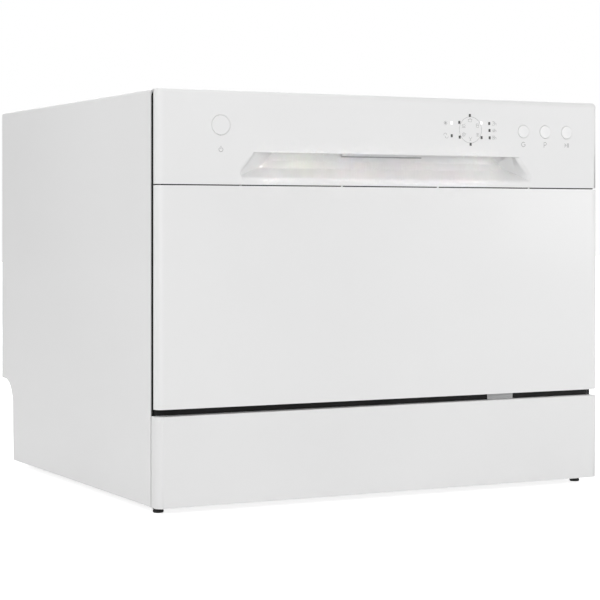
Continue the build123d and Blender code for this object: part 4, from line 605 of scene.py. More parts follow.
def wire(points, radius, bend=0.0, closed=False, sides=2, bendSteps=4, tip=False):
    # a drawn line gets its round thickness; tip rounds its two ends
    line = drawLine(points, closed, bend, bendSteps)
    only(line)
    bpy.ops.object.convert(target="CURVE")
    line.data.bevel_depth = radius
    line.data.bevel_resolution = sides
    line.data.use_fill_caps = True
    bpy.ops.object.convert(target="MESH")
    if tip:
        edit(line)
        bpy.ops.mesh.select_mode(type="FACE")
        mesh = bmesh.from_edit_mesh(line.data)
        for face in mesh.faces:
            face.select_set(len(face.verts) > 4)
        bmesh.update_edit_mesh(line.data)
        bpy.ops.mesh.inset(thickness=radius * 0.5, depth=radius * 0.45)
        leaveEdit()
    return line


def levelLoop(left, right, front, back, level):
    return [at(left, front, level), at(right, front, level), at(right, back, level), at(left, back, level)]


def turnedShape(profile, centre, axis="Z", steps=48, closed=False):
    # a half outline of (radius, along) places in mm is spun once round its axis
    lay = {"X": lambda r, a: Vector((a, r, 0)),
           "Y": lambda r, a: Vector((r, a, 0)),
           "Z": lambda r, a: Vector((r, 0, a))}[axis]
    turn = {"X": (1, 0, 0), "Y": (0, 1, 0), "Z": (0, 0, 1)}[axis]
    shape = drawLine([centre + lay(r, a) * mm for r, a in profile], closed)
    edit(shape, "SELECT")
    bpy.ops.mesh.spin(steps=steps, angle=radians(360), center=centre, axis=turn)
    leaveEdit()
    return turnedOut(shape)


def coiled(centre, axis, radius, wireRadius, sides, pitch, turns, steps):
    # a ring of wire is carried round its axis, X or Y, and along it, and its two ends are filled
    bpy.ops.object.select_all(action="DESELECT")
    bpy.ops.mesh.primitive_circle_add(vertices=sides, radius=wireRadius * mm, fill_type="NGON", location=centre)
    coil = bpy.context.object
    edit(coil, "SELECT")
    bpy.ops.transform.translate(value=(radius * mm, 0, 0) if axis == "Y" else (0, radius * mm, 0))
    leaveEdit()
    modified(coil, "SCREW", axis=axis, angle=radians(360), screw_offset=pitch * mm, iterations=turns,
             steps=steps, render_steps=steps, use_merge_vertices=False)
    applyPlace(coil)
    return capped(coil)


def prism(points, push, rim=0.0):
    # a closed outline is filled and pushed out; rim softens all its edges
    shape = drawLine(points, True)
    edit(shape, "SELECT")
    bpy.ops.mesh.edge_face_add()
    bpy.ops.mesh.select_all(action="SELECT")
    pushOut(push)
    leaveEdit()
    turnedOut(shape)
    if rim:
        modified(shape, "BEVEL", width=rim * mm, segments=3, limit_method="ANGLE", angle_limit=radians(40))
    return shape


def blockAt(low, high, rim=0.0, segments=3):
    # a block between two corners, its edges rounded
    bpy.ops.object.select_all(action="DESELECT")
    bpy.ops.mesh.primitive_cube_add(size=1, location=(Vector(low) + Vector(high)) / 2)
    block = bpy.context.object
    block.scale = Vector(high) - Vector(low)
    applyPlace(block)
    if rim:
        edit(block, "SELECT")
        roundEdges(rim, segments)
        leaveEdit()
    return block


def boxOf(size):
    # a block from its six sides and its rim in millimetres
    return blockAt(at(size["left"], size["from"], size["low"]), at(size["right"], size["to"], size["high"]),
                   size.get("rim", 0.0), 2)


def spunAround(piece, count, centre, axis="Z"):
    # copies of one piece, evenly round an axis, joined with it
    parts = [piece]
    for step in range(1, count):
        copied = copyAt(piece, (0, 0, 0))
        bpy.ops.transform.rotate(value=radians(360 * step / count), orient_axis=axis, center_override=centre)
        applyPlace(copied)
        parts.append(copied)
    return joined(parts)


def cleanCopy(nodeName):
    # a merged copy of a CAD node's loose triangles
    piece = nodes[nodeName].copy()
    piece.data = nodes[nodeName].data.copy()
    for label in list(piece.keys()):
        del piece[label]
    piece.parent = None
    scene.collection.objects.link(piece)
    edit(piece, "SELECT")
    bpy.ops.mesh.remove_doubles(threshold=0.000001)
    leaveEdit()
    return piece


def smoothed(nodeName, angle=32, material=None, test=None, shift=None):
    # the node's own shape, with its round faces shaded round and the points that pass the test moved
    piece = cleanCopy(nodeName)
    if test:
        nudged(piece, test, shift)
    return levelled(takesOver(piece, nodeName + "Form", nodeName, angle, material))


# push buttons: a cap with a rounded rim and a shallow dish, on a stem behind the console
capForm = {"face": -0.65, "thickness": 5.0, "stem": 3.0, "stemInset": 0.62, "rimSteps": 4,
           "dishSteps": (0.28, 0.3, 0.3), "dishWide": 0.8}
powerCap = {"radius": 10.4, "rim": 0.7, "dish": 0.35, "sides": 72}
smallCap = {"radius": 7.2, "rim": 0.5, "dish": 0.3, "sides": 56}
buttons = {"power_button": (-203.4, 401.5, powerCap), "delay_button": (172.2, 403.0, smallCap),
           "program_button": (201.7, 403.0, smallCap), "start_button": (231.0, 403.0, smallCap)}


def pushCap(nodeName, x, z, size):
    front, back = at(x, capForm["face"], z), at(x, capForm["face"] + capForm["thickness"], z)
    bpy.ops.object.select_all(action="DESELECT")
    bpy.ops.mesh.primitive_cylinder_add(vertices=size["sides"], radius=size["radius"] * mm,
                                        depth=capForm["thickness"] * mm, location=(front + back) / 2,
                                        rotation=(radians(90), 0, 0))
    cap = bpy.context.object
    applyPlace(cap)
    edit(cap)
    pick(cap, "FACE", lambda co, normal: normal.y < -0.9)
    roundEdges(size["rim"], capForm["rimSteps"])
    pick(cap, "FACE", lambda co, normal: normal.y < -0.9 and (co - front).length < 1e-4)
    for share in capForm["dishSteps"]:
        bpy.ops.mesh.inset(thickness=size["radius"] * share * capForm["dishWide"] * mm,
                           depth=-size["dish"] * share * mm)
    pick(cap, "FACE", lambda co, normal: normal.y > 0.9 and abs(co.y - back.y) < 1e-6)
    bpy.ops.mesh.inset(thickness=size["radius"] * capForm["stemInset"] * mm, depth=0)
    pushOut((0, capForm["stem"] * mm, 0))
    leaveEdit()
    takesOver(cap, nodeName + "Cap", nodeName)


for nodeName, (buttonX, buttonZ, capSize) in buttons.items():
    pushCap(nodeName, buttonX, buttonZ, capSize)
print("push buttons modelled")


# printed signs on the console: flat lines of ink, drawn as wires and pressed flat on the face
signs = {"line": 0.62, "fine": 0.5, "flat": 0.12, "row": 388.4, "size": 2.2,
         "power": (-203.4, 376.0, 2.3), "delay": (172.2, 388.4, 2.5), "ring": (101.8, 403.3, 14.5),
         "bars": (232.4, 234.0), "barShare": 1.2, "star": (69.3, 410.2, 2.5), "arrows": ((68.9, 397.2), (70.9, 395.4)),
         "numberX": 131.7, "hourX": 134.7, "numberSize": 2.1, "hourSize": 2.0}
wide, fine, row = signs["line"], signs["fine"], signs["row"]


def inkLine(points, width, closed=False):
    line = wire([at(x, 0, z) for x, z in points], width / 2 * mm, closed=closed, sides=1)
    edit(line, "SELECT")
    bpy.ops.transform.resize(value=(1, signs["flat"], 1), center_override=at(0, 0, 0))
    leaveEdit()
    return line


def arcPoints(x, z, radius, start, end, steps=28):
    # places on a round line, angles in degrees from straight up, clockwise
    turns = [radians(start + (end - start) * step / steps) for step in range(steps + 1)]
    return [(x + radius * sin(turn), z + radius * cos(turn)) for turn in turns]


def inkSign(name, lines):
    done(joined([inkLine(*line) for line in lines]), name, "door", "window_plastic", material=printInk)


def strokes(x, z, *runs, size=signs["size"]):
    # a small drawing: each run is a list of places counted from its middle, in its own size
    return [([(x + u * size, z + v * size) for u, v in run], fine) for run in runs]


inkSign("powerSign", [
    (arcPoints(*signs["power"], 35, 325), wide),
    ([(-203.4, 376.4), (-203.4, 379.8)], wide),
])
inkSign("delaySign", [(arcPoints(*signs["delay"], 42, -262) + [(174.7, row), (172.8, row)], wide)])
inkSign("programSign", [([(200.2, row - 3.1), (200.2, row + 2.9), (202.4, row + 2.9), (203.7, row + 1.3),
                          (202.4, row - 0.3), (200.4, row - 0.3)], wide)])
inkSign("startSign", [
    ([(228.6, row - 2.2), (228.6, row + 2.2), (231.2, row)], wide, True),
    ([(229.3, row - 0.9), (229.3, row + 0.9), (230.4, row)], wide, True),
    *[([(barX, row - 2.4), (barX, row + 2.4)], wide * signs["barShare"]) for barX in signs["bars"]],
])
inkSign("programmeRing", [(arcPoints(*signs["ring"], 0, 360, 64)[:-1], fine, True)])

programmeSigns = (
    # pot, glass, soaking plates, goblet, pan, stacked plates
    strokes(101.2, 414.0, [(-1, 0.5), (-1, -0.8), (1, -0.8), (1, 0.5)],
            [(-1.3, 0.5), (1.3, 0.5)], [(-0.3, 0.9), (0.3, 0.9)]),
    strokes(111.0, 408.2, [(-0.8, 0.9), (-0.6, -0.9), (0.6, -0.9), (0.8, 0.9), (-0.8, 0.9)],
            [(-0.7, 0.2), (0.7, 0.2)]),
    strokes(111.2, 397.9, [(-0.9, 0.8), (0.9, 0.8)], [(-0.9, 0.1), (0.9, 0.1)],
            [(-0.9, -0.6), (0.9, -0.6)], [(0, 0.8), (0, -0.6)]),
    strokes(101.8, 393.6, [(-0.8, 0.9), (-0.4, 0), (0.4, 0), (0.8, 0.9)],
            [(0, 0), (0, -0.9)], [(-0.5, -0.9), (0.5, -0.9)]),
    [(arcPoints(93.0, 398.0, 1.9, 0, 360, 16)[:-1], fine, True), ([(94.9, 398.6), (96.2, 399.2)], fine),
     (arcPoints(93.0, 398.0, 0.8, 0, 360, 8)[:-1], fine, True)],
    strokes(92.9, 407.9, [(-1, 0.2), (-0.6, -0.5), (0.6, -0.5), (1, 0.2)],
            [(-0.8, 0.7), (-0.5, 0.2), (0.9, 0.9)], [(-1, -1), (1, -1)]),
)
inkSign("programmeSigns", [line for sign in programmeSigns for line in sign])
inkSign("refillSigns", [
    *[(arcPoints(*signs["star"], turn - 180, turn, 1), fine) for turn in (10, 55, 100, 145)],
    *[(arcPoints(*spot, 1.9, start, start + 210, 10), fine) for spot, start in zip(signs["arrows"], (-110, 70))],
])
numberRuns = {
    "2": [[(-0.5, 0.7), (-0.2, 1), (0.3, 1), (0.5, 0.6), (-0.5, -1), (0.5, -1)]],
    "4": [[(0.25, -1), (0.25, 1), (-0.5, -0.4), (0.6, -0.4)]],
    "8": [[(0, 0.05), (-0.45, 0.4), (-0.35, 0.9), (0.35, 0.9), (0.45, 0.4), (0, 0.05),
           (-0.5, -0.35), (-0.4, -0.95), (0.4, -0.95), (0.5, -0.35), (0, 0.05)]],
    "hour": [[(-0.5, 1), (-0.5, -1)], [(-0.5, -0.1), (0, 0.25), (0.45, -0.1), (0.45, -1)]],
}
inkSign("hourNumbers", [
    line for number, z in (("2", 411.2), ("4", 403.4), ("8", 395.4))
    for line in strokes(signs["numberX"], z, *numberRuns[number], size=signs["numberSize"])
    + strokes(signs["hourX"], z, *numberRuns["hour"], size=signs["hourSize"])
])
print("console signs drawn")


# indicator lights: small lenses with a soft rim, two of them lit
lens = {"halfWide": 1.35, "halfHigh": 1.7, "proud": 0.12, "deep": 2.0, "rim": 0.5, "border": 0.25, "crown": 0.08,
        "dark": [(101.0, 419.3), (87.2, 411.3), (87.8, 395.0), (116.4, 395.0), (102.0, 387.3),
                 (126.5, 411.0), (126.9, 403.2), (127.1, 395.0), (77.4, 396.3)],
        "lit": [(116.0, 411.3), (77.1, 410.5)]}


def lensRow(name, places, material):
    lenses = []
    for x, z in places:
        piece = blockAt(at(x - lens["halfWide"], -lens["proud"], z - lens["halfHigh"]),
                        at(x + lens["halfWide"], lens["deep"], z + lens["halfHigh"]))
        edit(piece)
        pick(piece, "EDGE", lambda co, way: abs(way.y) > 0.001)
        roundEdges(lens["rim"], 3)
        pick(piece, "FACE", lambda co, normal: normal.y < -0.9)
        bpy.ops.mesh.inset(thickness=lens["border"] * mm, depth=lens["crown"] * mm)
        leaveEdit()
        lenses.append(piece)
    takesOver(joined(lenses), name, "indicator_windows", 40, material)


lensRow("darkLights", lens["dark"], finish["window_plastic"])
lensRow("litLights", lens["lit"], litWindow)
print("indicator lights set")


# painted and moulded outer pieces keep the CAD shape, with round faces shaded round
for nodeName in ("door_panel", "plinth", "tub", "door_liner", "sump", "fill_hose", "drain_hose", "wash_pump",
                 "drain_pump", "flow_heater", "cable_gland", "softener_tank", "overflow_float", "wheel_carriers"):
    smoothed(nodeName)
print("CAD shapes smoothed")


# cabinet: its front rim stands back from the door and leaves room for a black cord, which paints the shade in the
# door's edge gap
rim = {"back": 15.85, "shift": 1.5}
smoothed("cabinet_wrap", 35, test=lambda co, normal: co.y < frontFace + rim["back"] * mm,
         shift=(0, rim["shift"] * mm, 0))

# handle bar: it hangs a little below the lip, so that fingers find it
bar = {"middle": 374.7, "from": 18.0, "to": 24.0, "drop": 1.3}
smoothed("handle_lever", 35, finish["console_plastic"],
         lambda co, normal: co.z < bar["middle"] * mm and bar["from"] * mm < co.y - frontFace < bar["to"] * mm,
         (0, 0, -bar["drop"] * mm))

# latch striker: its lip is a little lower than the hook's lift
striker = {"top": 423.0, "drop": 0.6}
smoothed("latch_striker", 35, test=lambda co, normal: co.z > striker["top"] * mm, shift=(0, 0, -striker["drop"] * mm))

# lever pad: a grey strip under the handle bar, a soft grip that also paints the shade line beneath the bar
shadePad = {"left": -49.6, "right": 49.6, "from": 18.55, "to": 23.0, "low": 371.1, "high": 372.3, "rim": 0.3}
done(boxOf(shadePad), "leverShadePad", "handle_lever", "rubber", material=finish["grey_plastic"])
print("rim, bar and striker eased")


# console: the lip over the handle recess is rolled, and a ramp eases the recess's left end
lip = {"level": 374.0, "roll": 3.6, "steps": 6, "reach": 165.0, "flat": 0.5}
consoleForm = cleanCopy("console")
edit(consoleForm, "SELECT")
bpy.ops.mesh.dissolve_limited(angle_limit=radians(lip["flat"]))
pick(consoleForm, "EDGE", lambda co, way: abs(co.y - frontFace) < 1e-5 and abs(co.z - lip["level"] * mm) < 1e-4
     and abs(way.x) > 0.001 and abs(co.x) < lip["reach"] * mm)
roundEdges(lip["roll"], lip["steps"])
leaveEdit()
levelled(takesOver(consoleForm, "consoleForm", "console", 32))
ramp = {"edgeX": -157.66, "edgeBack": 1.39, "depth": 27.5, "slope": 1.2, "wall": 0.55, "lap": 1.5,
        "top": 379.5, "low": 347.5, "flare": 0.8309}
rampRun, rampFall = ramp["depth"] - ramp["edgeBack"], ramp["top"] - ramp["low"]
recessRamp = prism([at(ramp["edgeX"], ramp["edgeBack"], ramp["top"]),
                    at(ramp["edgeX"] + ramp["slope"] * rampRun, ramp["depth"], ramp["top"]),
                    at(ramp["edgeX"] + ramp["wall"] * rampRun - ramp["lap"], ramp["depth"], ramp["top"])],
                   Vector((-rampFall * ramp["flare"], 0, -rampFall)) * mm)
done(recessRamp, "recessRamp", "door", "console_plastic")
print("console recess eased")


# shadow gaps: a black cord round the cabinet's front rim, a seal that also paints the shade in the door's edge gap, and
# dark foam in the seam under the console, which paints the seam's shade line
cord = {"side": 273.6, "top": 436.6, "foot": 12.0, "middle": 16.45, "radius": 0.9, "corner": 6.5}
cordRun = [(-cord["side"], cord["foot"]), (-cord["side"], cord["top"]),
           (cord["side"], cord["top"]), (cord["side"], cord["foot"])]
rimShadeCord = wire([at(x, cord["middle"], z) for x, z in cordRun], cord["radius"] * mm, cord["corner"] * mm,
               False, 3, 8)
done(rimShadeCord, "rimShadeSeal", "cabinet", "rubber", material=finish["black_plastic"])
# dark foam strips in the seam under the console, painted shade for the seam's dark line
seam = {"from": 0.5, "to": 7.0, "low": 338.56, "high": 339.74, "rim": 0.15,
        "runs": ((-268, -181.6), (-178.4, -61.6), (-58.4, 58.4), (61.6, 178.4), (181.6, 268))}
seamShadeStrips = [boxOf(dict(seam, left=left, right=right)) for left, right in seam["runs"]]
done(joined(seamShadeStrips), "seamShadeFoam", "door", "rubber")
# the right plinth clip is folded forward over the tray's edge, where it shows in the gap
clip = {"left": 134, "right": 168, "from": 15.56, "to": 16.2, "low": 98.5, "high": 108.5, "rim": 0.2}
done(boxOf(clip), "clipLip", "cabinet", "pale_plastic")
print("shadow gaps filled")


# rear panel: three pressed grooves, cut where the sheet is ribbed inside
groove = {"places": (-136.85, 0, 136.85), "half": 5.0, "low": 152.0, "high": 392.0, "depth": 2.2, "round": 1.4,
          "face": 498.5, "over": 1}
rearForm = cleanCopy("rear_panel")
endArc = [(groove["half"] * cos(radians(turn)), groove["half"] * sin(radians(turn))) for turn in range(0, 181, 20)]
for grooveX in groove["places"]:
    outline = [at(grooveX + u, groove["face"] + groove["over"], groove["high"] - groove["half"] + v) for u, v in endArc]
    outline += [at(grooveX - u, groove["face"] + groove["over"], groove["low"] + groove["half"] - v) for u, v in endArc]
    cutter = prism(outline, (0, -(groove["depth"] + groove["over"]) * mm, 0))
    edit(cutter)
    pick(cutter, "FACE", lambda co, normal: normal.y < -0.9)
    roundEdges(groove["round"], 4)
    leaveEdit()
    cutOut(rearForm, cutter)
levelled(takesOver(rearForm, "rearPanelForm", "rear_panel", 30))
print("rear panel pressed")


# water fittings at the back: a screw thread round the inlet, barbs round the outlet
inlet = {"x": -150.0, "z": 60.0, "radius": 13.2, "from": 458.0, "turns": 4, "pitch": 2.3, "ridge": 0.9,
         "ridgeSides": 6, "steps": 40}
inletForm = cleanCopy("inlet_valve")
thread = coiled(at(inlet["x"], inlet["from"], inlet["z"]), "Y", inlet["radius"], inlet["ridge"], inlet["ridgeSides"],
                inlet["pitch"], inlet["turns"], inlet["steps"])
takesOver(joined([inletForm, turnedOut(thread)]), "inletValveForm", "inlet_valve")
outlet = {"x": -74.0, "z": 58.0, "bore": 8.5, "crest": 10.4, "barbs": (462.0, 467.0, 472.0), "edge": 0.5, "long": 3.6}
outletParts = [cleanCopy("drain_spigot")]
for back in outlet["barbs"]:
    barb = [(outlet["bore"], back), (outlet["crest"], back), (outlet["crest"], back + outlet["edge"]),
            (outlet["bore"], back + outlet["long"])]
    outletParts.append(turnedShape(barb, at(outlet["x"], 0, outlet["z"]), "Y", 40, True))
takesOver(joined(outletParts), "drainSpigotForm", "drain_spigot")
print("water fittings modelled")


# levelling feet: a ribbed rubber pad with a hollow sole
foot = {"outline": [(0, 0.7), (3.2, 0.7), (3.6, 0), (5.2, 0), (5.6, 0.5), (5.8, 2.2), (5.3, 2.6), (5.3, 3.2),
                    (6.0, 3.7), (6.3, 5.6), (6.5, 6.1), (6.5, 7.3), (0, 7.3)],
        "places": [(-262, 28), (262, 28), (-240, 430), (240, 430)], "steps": 40}
footPlaces = [at(*spot, 0) for spot in foot["places"]]
firstFoot = turnedShape(foot["outline"], footPlaces[0], "Z", foot["steps"])
feet = [firstFoot] + [copyAt(firstFoot, spot - footPlaces[0]) for spot in footPlaces[1:]]
takesOver(joined(feet), "levellingFeet", "feet")

# rear screws: domed heads with a cross recess
screwLow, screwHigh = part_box("rear_screws")
screw = {"radius": 3.5, "height": 1.4, "outline": [(0, 1.4), (1.6, 1.35), (2.7, 1.05), (3.3, 0.55), (3.5, 0.1),
                                                   (3.5, 0), (0, 0)],
         "slotHalf": 0.45, "slotReach": 1.9, "slotDeep": 0.9, "cutter": 3}
screwMiddle = Vector((screwLow[0] + screw["radius"] * mm, screwLow[1], screwLow[2] + screw["radius"] * mm))
firstScrew = turnedShape(screw["outline"], screwMiddle, "Y", 36)
narrow, reach = screw["slotHalf"] * mm, screw["slotReach"] * mm
quarter, crossOutline = [(narrow, reach), (narrow, narrow), (reach, narrow)], []
for turn in range(4):
    crossOutline += quarter
    quarter = [(v, -u) for u, v in quarter]
slotFloor = (screw["height"] - screw["slotDeep"]) * mm
cutOut(firstScrew, prism([screwMiddle + Vector((u, slotFloor, v)) for u, v in crossOutline],
                         (0, screw["cutter"] * mm, 0)))
screwWide = screwHigh[0] - screwLow[0] - 2 * screw["radius"] * mm
screwTall = screwHigh[2] - screwLow[2] - 2 * screw["radius"] * mm
screws = [firstScrew] + [copyAt(firstScrew, (screwWide * across, 0, screwTall * up))
                         for across, up in ((1, 0), (0.5, 0), (0, 1), (0.5, 1), (1, 1))]
takesOver(joined(screws), "rearScrewHeads", "rear_screws")
print("feet and screws set")


# gasket: a flat foot with two soft beads round the mouth of the tub
gasketLow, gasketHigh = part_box("tub_gasket")
gasket = {"beadRadius": 0.95, "footThick": 1.0, "skin": 0.2, "insets": (2.2, 6.4), "corner": 26.0}
gasketParts = [nudged(cleanCopy("tub_gasket"), lambda co, normal: co.y < gasketLow[1] + gasket["skin"] * mm,
                      (0, gasket["footThick"] * mm, 0))]
beadY = gasketLow[1] + gasket["beadRadius"] * mm
for inset in gasket["insets"]:
    left, right = gasketLow[0] + inset * mm, gasketHigh[0] - inset * mm
    low, high = gasketLow[2] + inset * mm, gasketHigh[2] - inset * mm
    gasketParts.append(wire([(left, beadY, low), (right, beadY, low), (right, beadY, high), (left, beadY, high)],
                            gasket["beadRadius"] * mm, (gasket["corner"] - inset) * mm, True, 2, 8))
takesOver(joined(gasketParts), "gasketProfile", "tub_gasket")

# hinge springs: real turns of wire with a leg each
springLow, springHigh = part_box("hinge_springs")
spring = {"wire": 1.05, "sides": 10, "radius": 4.6, "from": 264.4, "turns": 3, "steps": 28, "leg": 12.0}
springY, springZ = (springLow[1] + springHigh[1]) / 2, (springLow[2] + springHigh[2]) / 2
springPitch = (springHigh[0] / mm - spring["from"] - spring["wire"]) / spring["turns"]


def hingeSpring(side):
    centre = Vector((side * spring["from"] * mm, springY, springZ))
    coil = coiled(centre, "X", spring["radius"], spring["wire"], spring["sides"], side * springPitch,
                  spring["turns"], spring["steps"])
    legFoot = centre + Vector((0, spring["radius"], 0)) * mm
    leg = wire([legFoot, legFoot + Vector((0, 0, spring["leg"])) * mm], spring["wire"] * mm, sides=1)
    return turnedOut(joined([coil, leg]))


takesOver(joined([hingeSpring(-1), hingeSpring(1)]), "hingeCoils", "hinge_springs")
print("gasket and hinge springs modelled")


# dish rack: bent coated wires, run down one wall, over the floor and up the other
rack = {"wire": 1.5, "rimWire": 2.08, "wallX": 220.56, "front": 73.44, "back": 439.56, "rim": 280.56,
        "middle": 227.7, "acrossZ": 173.44, "alongZ": 175.92, "bend": 6.0, "corner": 9.0,
        "sideCount": 10, "sidePitch": 33.55, "sideMiddle": 256.5, "endCount": 12, "endPitch": 34.15}
firstY = rack["sideMiddle"] - (rack["sideCount"] - 1) / 2 * rack["sidePitch"]
firstX = -(rack["endCount"] - 1) / 2 * rack["endPitch"]
acrossRun = [(-rack["wallX"], rack["rim"]), (-rack["wallX"], rack["acrossZ"]),
             (rack["wallX"], rack["acrossZ"]), (rack["wallX"], rack["rim"])]
alongRun = [(rack["front"], rack["rim"]), (rack["front"], rack["alongZ"]),
            (rack["back"], rack["alongZ"]), (rack["back"], rack["rim"])]
acrossWire = wire([at(x, firstY, z) for x, z in acrossRun], rack["wire"] * mm, rack["bend"] * mm)
rackWires = rowOf(acrossWire, rack["sideCount"], (0, rack["sidePitch"], 0))
alongWire = wire([at(firstX, back, z) for back, z in alongRun], rack["wire"] * mm, rack["bend"] * mm)
rackWires += rowOf(alongWire, rack["endCount"], (rack["endPitch"], 0, 0))
for level, radius in ((rack["rim"], rack["rimWire"]), (rack["middle"], rack["wire"])):
    rackWires.append(wire(levelLoop(-rack["wallX"], rack["wallX"], rack["front"], rack["back"], level),
                          radius * mm, rack["corner"] * mm, True, 2, 6))
takesOver(joined(rackWires), "rackWires", "dish_rack", 60)

# plate tines: two rows of upright wires with domed ends
tines = {"rows": (-142.7, 47.6), "foot": 176.7, "tip": 238.0, "pitch": 34.0, "count": 8, "middle": 256.5,
         "over": 8, "wire": 1.5}
rowX = tines["rows"][0]
firstTineY = tines["middle"] - tines["pitch"] * (tines["count"] - 1) / 2
lastTineY = tines["middle"] * 2 - firstTineY
tineRail = wire([at(rowX, firstTineY - tines["over"], tines["foot"]),
                 at(rowX, lastTineY + tines["over"], tines["foot"])], tines["wire"] * mm, tip=True)
firstTine = wire([at(rowX, firstTineY, tines["foot"]), at(rowX, firstTineY, tines["tip"])],
                 tines["wire"] * mm, tip=True)
tineRow = joined([tineRail] + rowOf(firstTine, tines["count"], (0, tines["pitch"], 0)))
tineRows = rowOf(tineRow, 2, (tines["rows"][1] - rowX, 0, 0))
takesOver(joined(tineRows), "tineRows", "plate_tines", 60)

# cup shelf: a wire loop round its own pivot rod, with rails and bars
shelf = {"pivot": -214.62, "level": 286.0, "reach": 86.0, "from": 150.0, "to": 340.0, "inset": 3, "corner": 8,
         "rod": 1.75, "loop": 1.7, "wire": 1.5, "rails": (0.35, 0.68), "bars": 5, "pitch": 38.0, "firstBar": 169,
         "barLevel": 287.4}
shelfEdge = shelf["pivot"] + shelf["reach"]
loopFrom, loopTo = shelf["from"] + shelf["inset"], shelf["to"] - shelf["inset"]
shelfParts = [
    wire([at(shelf["pivot"], shelf["from"], shelf["level"]), at(shelf["pivot"], shelf["to"], shelf["level"])],
         shelf["rod"] * mm, tip=True),
    wire([at(shelf["pivot"], loopFrom, shelf["level"]), at(shelfEdge, loopFrom, shelf["level"]),
          at(shelfEdge, loopTo, shelf["level"]), at(shelf["pivot"], loopTo, shelf["level"])],
         shelf["loop"] * mm, shelf["corner"] * mm),
]
for share in shelf["rails"]:
    railX = shelf["pivot"] + share * shelf["reach"]
    shelfParts.append(wire([at(railX, loopFrom, shelf["level"]), at(railX, loopTo, shelf["level"])],
                           shelf["wire"] * mm))
firstBar = wire([at(shelf["pivot"], shelf["firstBar"], shelf["barLevel"]),
                 at(shelfEdge, shelf["firstBar"], shelf["barLevel"])], shelf["wire"] * mm, tip=True)
shelfParts += rowOf(firstBar, shelf["bars"], (0, shelf["pitch"], 0))
takesOver(joined(shelfParts), "cupShelfWires", "cup_shelf", 60)
print("rack wires bent")


# rack wheels: a grooved tyre, a hub and four spokes
wheel = {"middleX": 229.2, "level": 164.3, "front": 120, "rear": 405, "spokes": 4, "spokeRim": 0.4,
         "tyreSteps": 44, "hubSteps": 28,
         "spoke": ((-1.3, -1.3, 4.6), (1.3, 1.3, 10.9)),
         "tyre": [(13.0, -3.2), (12.4, -4.0), (11.0, -4.0), (10.4, -3.4), (10.4, 3.4), (11.0, 4.0), (12.4, 4.0),
                  (13.0, 3.2), (13.0, 0.6), (12.5, 0.3), (12.5, -0.3), (13.0, -0.6)],
         "hub": [(3.3, -4.0), (4.9, -4.0), (5.2, -3.6), (5.2, 3.6), (4.9, 4.0), (3.3, 4.0)]}
wheelCentre = at(wheel["middleX"], wheel["front"], wheel["level"])
tyre = turnedShape(wheel["tyre"], wheelCentre, "X", wheel["tyreSteps"], True)
hub = turnedShape(wheel["hub"], wheelCentre, "X", wheel["hubSteps"], True)
spoke = blockAt(*[wheelCentre + Vector(corner) * mm for corner in wheel["spoke"]], wheel["spokeRim"], 2)
firstWheel = joined([tyre, hub, spunAround(spoke, wheel["spokes"], wheelCentre, "X")])
for end in ("front", "rear"):
    for hand, side in (("left", -1), ("right", 1)):
        nodeName = "rack_wheel_" + end + "_" + hand
        placed = copyAt(firstWheel, at(side * wheel["middleX"], wheel[end], wheel["level"]) - wheelCentre)
        takesOver(placed, nodeName + "Turned", nodeName)
bpy.data.objects.remove(firstWheel)
print("wheels turned")


# cutlery basket: a lattice box; its wall panels are inset and cut out, then the sheet gets its thickness
basket = {"left": 128.0, "right": 204.0, "from": 96.0, "to": 236.0, "low": 177.9, "high": 281.8, "corner": 8.0,
          "columns": 11, "ends": 6, "rows": 8, "footBand": 5, "rimBand": 12, "bar": 1.9, "wall": 2.0, "rimWire": 1.5,
          "handleFrom": 161, "handleWide": 10, "handleRim": 1.2,
          "handle": [(127.5, 257.8), (127.5, 303.8), (144.0, 315.8), (188.0, 315.8), (204.5, 303.8), (204.5, 257.8),
                     (200.5, 257.8), (200.5, 301.8), (186.5, 310.8), (145.5, 310.8), (131.5, 301.8), (131.5, 257.8)]}
divider = {"half": 1, "side": 1.5, "foot": 1, "top": 14, "rim": 0.5}
inner = {"left": basket["left"] + basket["corner"], "right": basket["right"] - basket["corner"],
         "from": basket["from"] + basket["corner"], "to": basket["to"] - basket["corner"],
         "low": basket["low"] + basket["footBand"], "high": basket["high"] - basket["rimBand"]}


def evenly(low, high, count):
    return [low + (high - low) * step / count for step in range(count + 1)]


def latticePanel(co, normal):
    # wall panels between the corners and below the rim, and floor panels
    acrossIn = at(inner["left"], 0, 0).x < co.x < at(inner["right"], 0, 0).x
    backIn = at(0, inner["from"], 0).y < co.y < at(0, inner["to"], 0).y
    wallIn = inner["low"] * mm < co.z < inner["high"] * mm
    if abs(normal.z) > 0.9:
        return acrossIn and backIn
    return wallIn and ((abs(normal.x) > 0.99 and backIn) or (abs(normal.y) > 0.99 and acrossIn))


basketBox = boxOf(basket)
edit(basketBox)
pick(basketBox, "EDGE", lambda co, way: abs(way.z) > 0.05)
roundEdges(basket["corner"], 4)
pick(basketBox, "FACE", lambda co, normal: normal.z > 0.9)
bpy.ops.mesh.delete(type="FACE")
cuts = [((0, 1, 0), at(0, back, 0)) for back in evenly(inner["from"], inner["to"], basket["columns"])]
cuts += [((1, 0, 0), at(x, 0, 0)) for x in evenly(inner["left"], inner["right"], basket["ends"])]
cuts += [((0, 0, 1), at(0, 0, z)) for z in evenly(inner["low"], inner["high"], basket["rows"])]
for way, spot in cuts:
    bpy.ops.mesh.select_all(action="SELECT")
    bpy.ops.mesh.bisect(plane_co=spot, plane_no=way)
pick(basketBox, "FACE", latticePanel)
bpy.ops.mesh.inset(thickness=basket["bar"] * mm, depth=0, use_individual=True)
bpy.ops.mesh.delete(type="FACE")
leaveEdit()
modified(basketBox, "SOLIDIFY", thickness=basket["wall"] * mm, offset=-1)
basketParts = [basketBox]
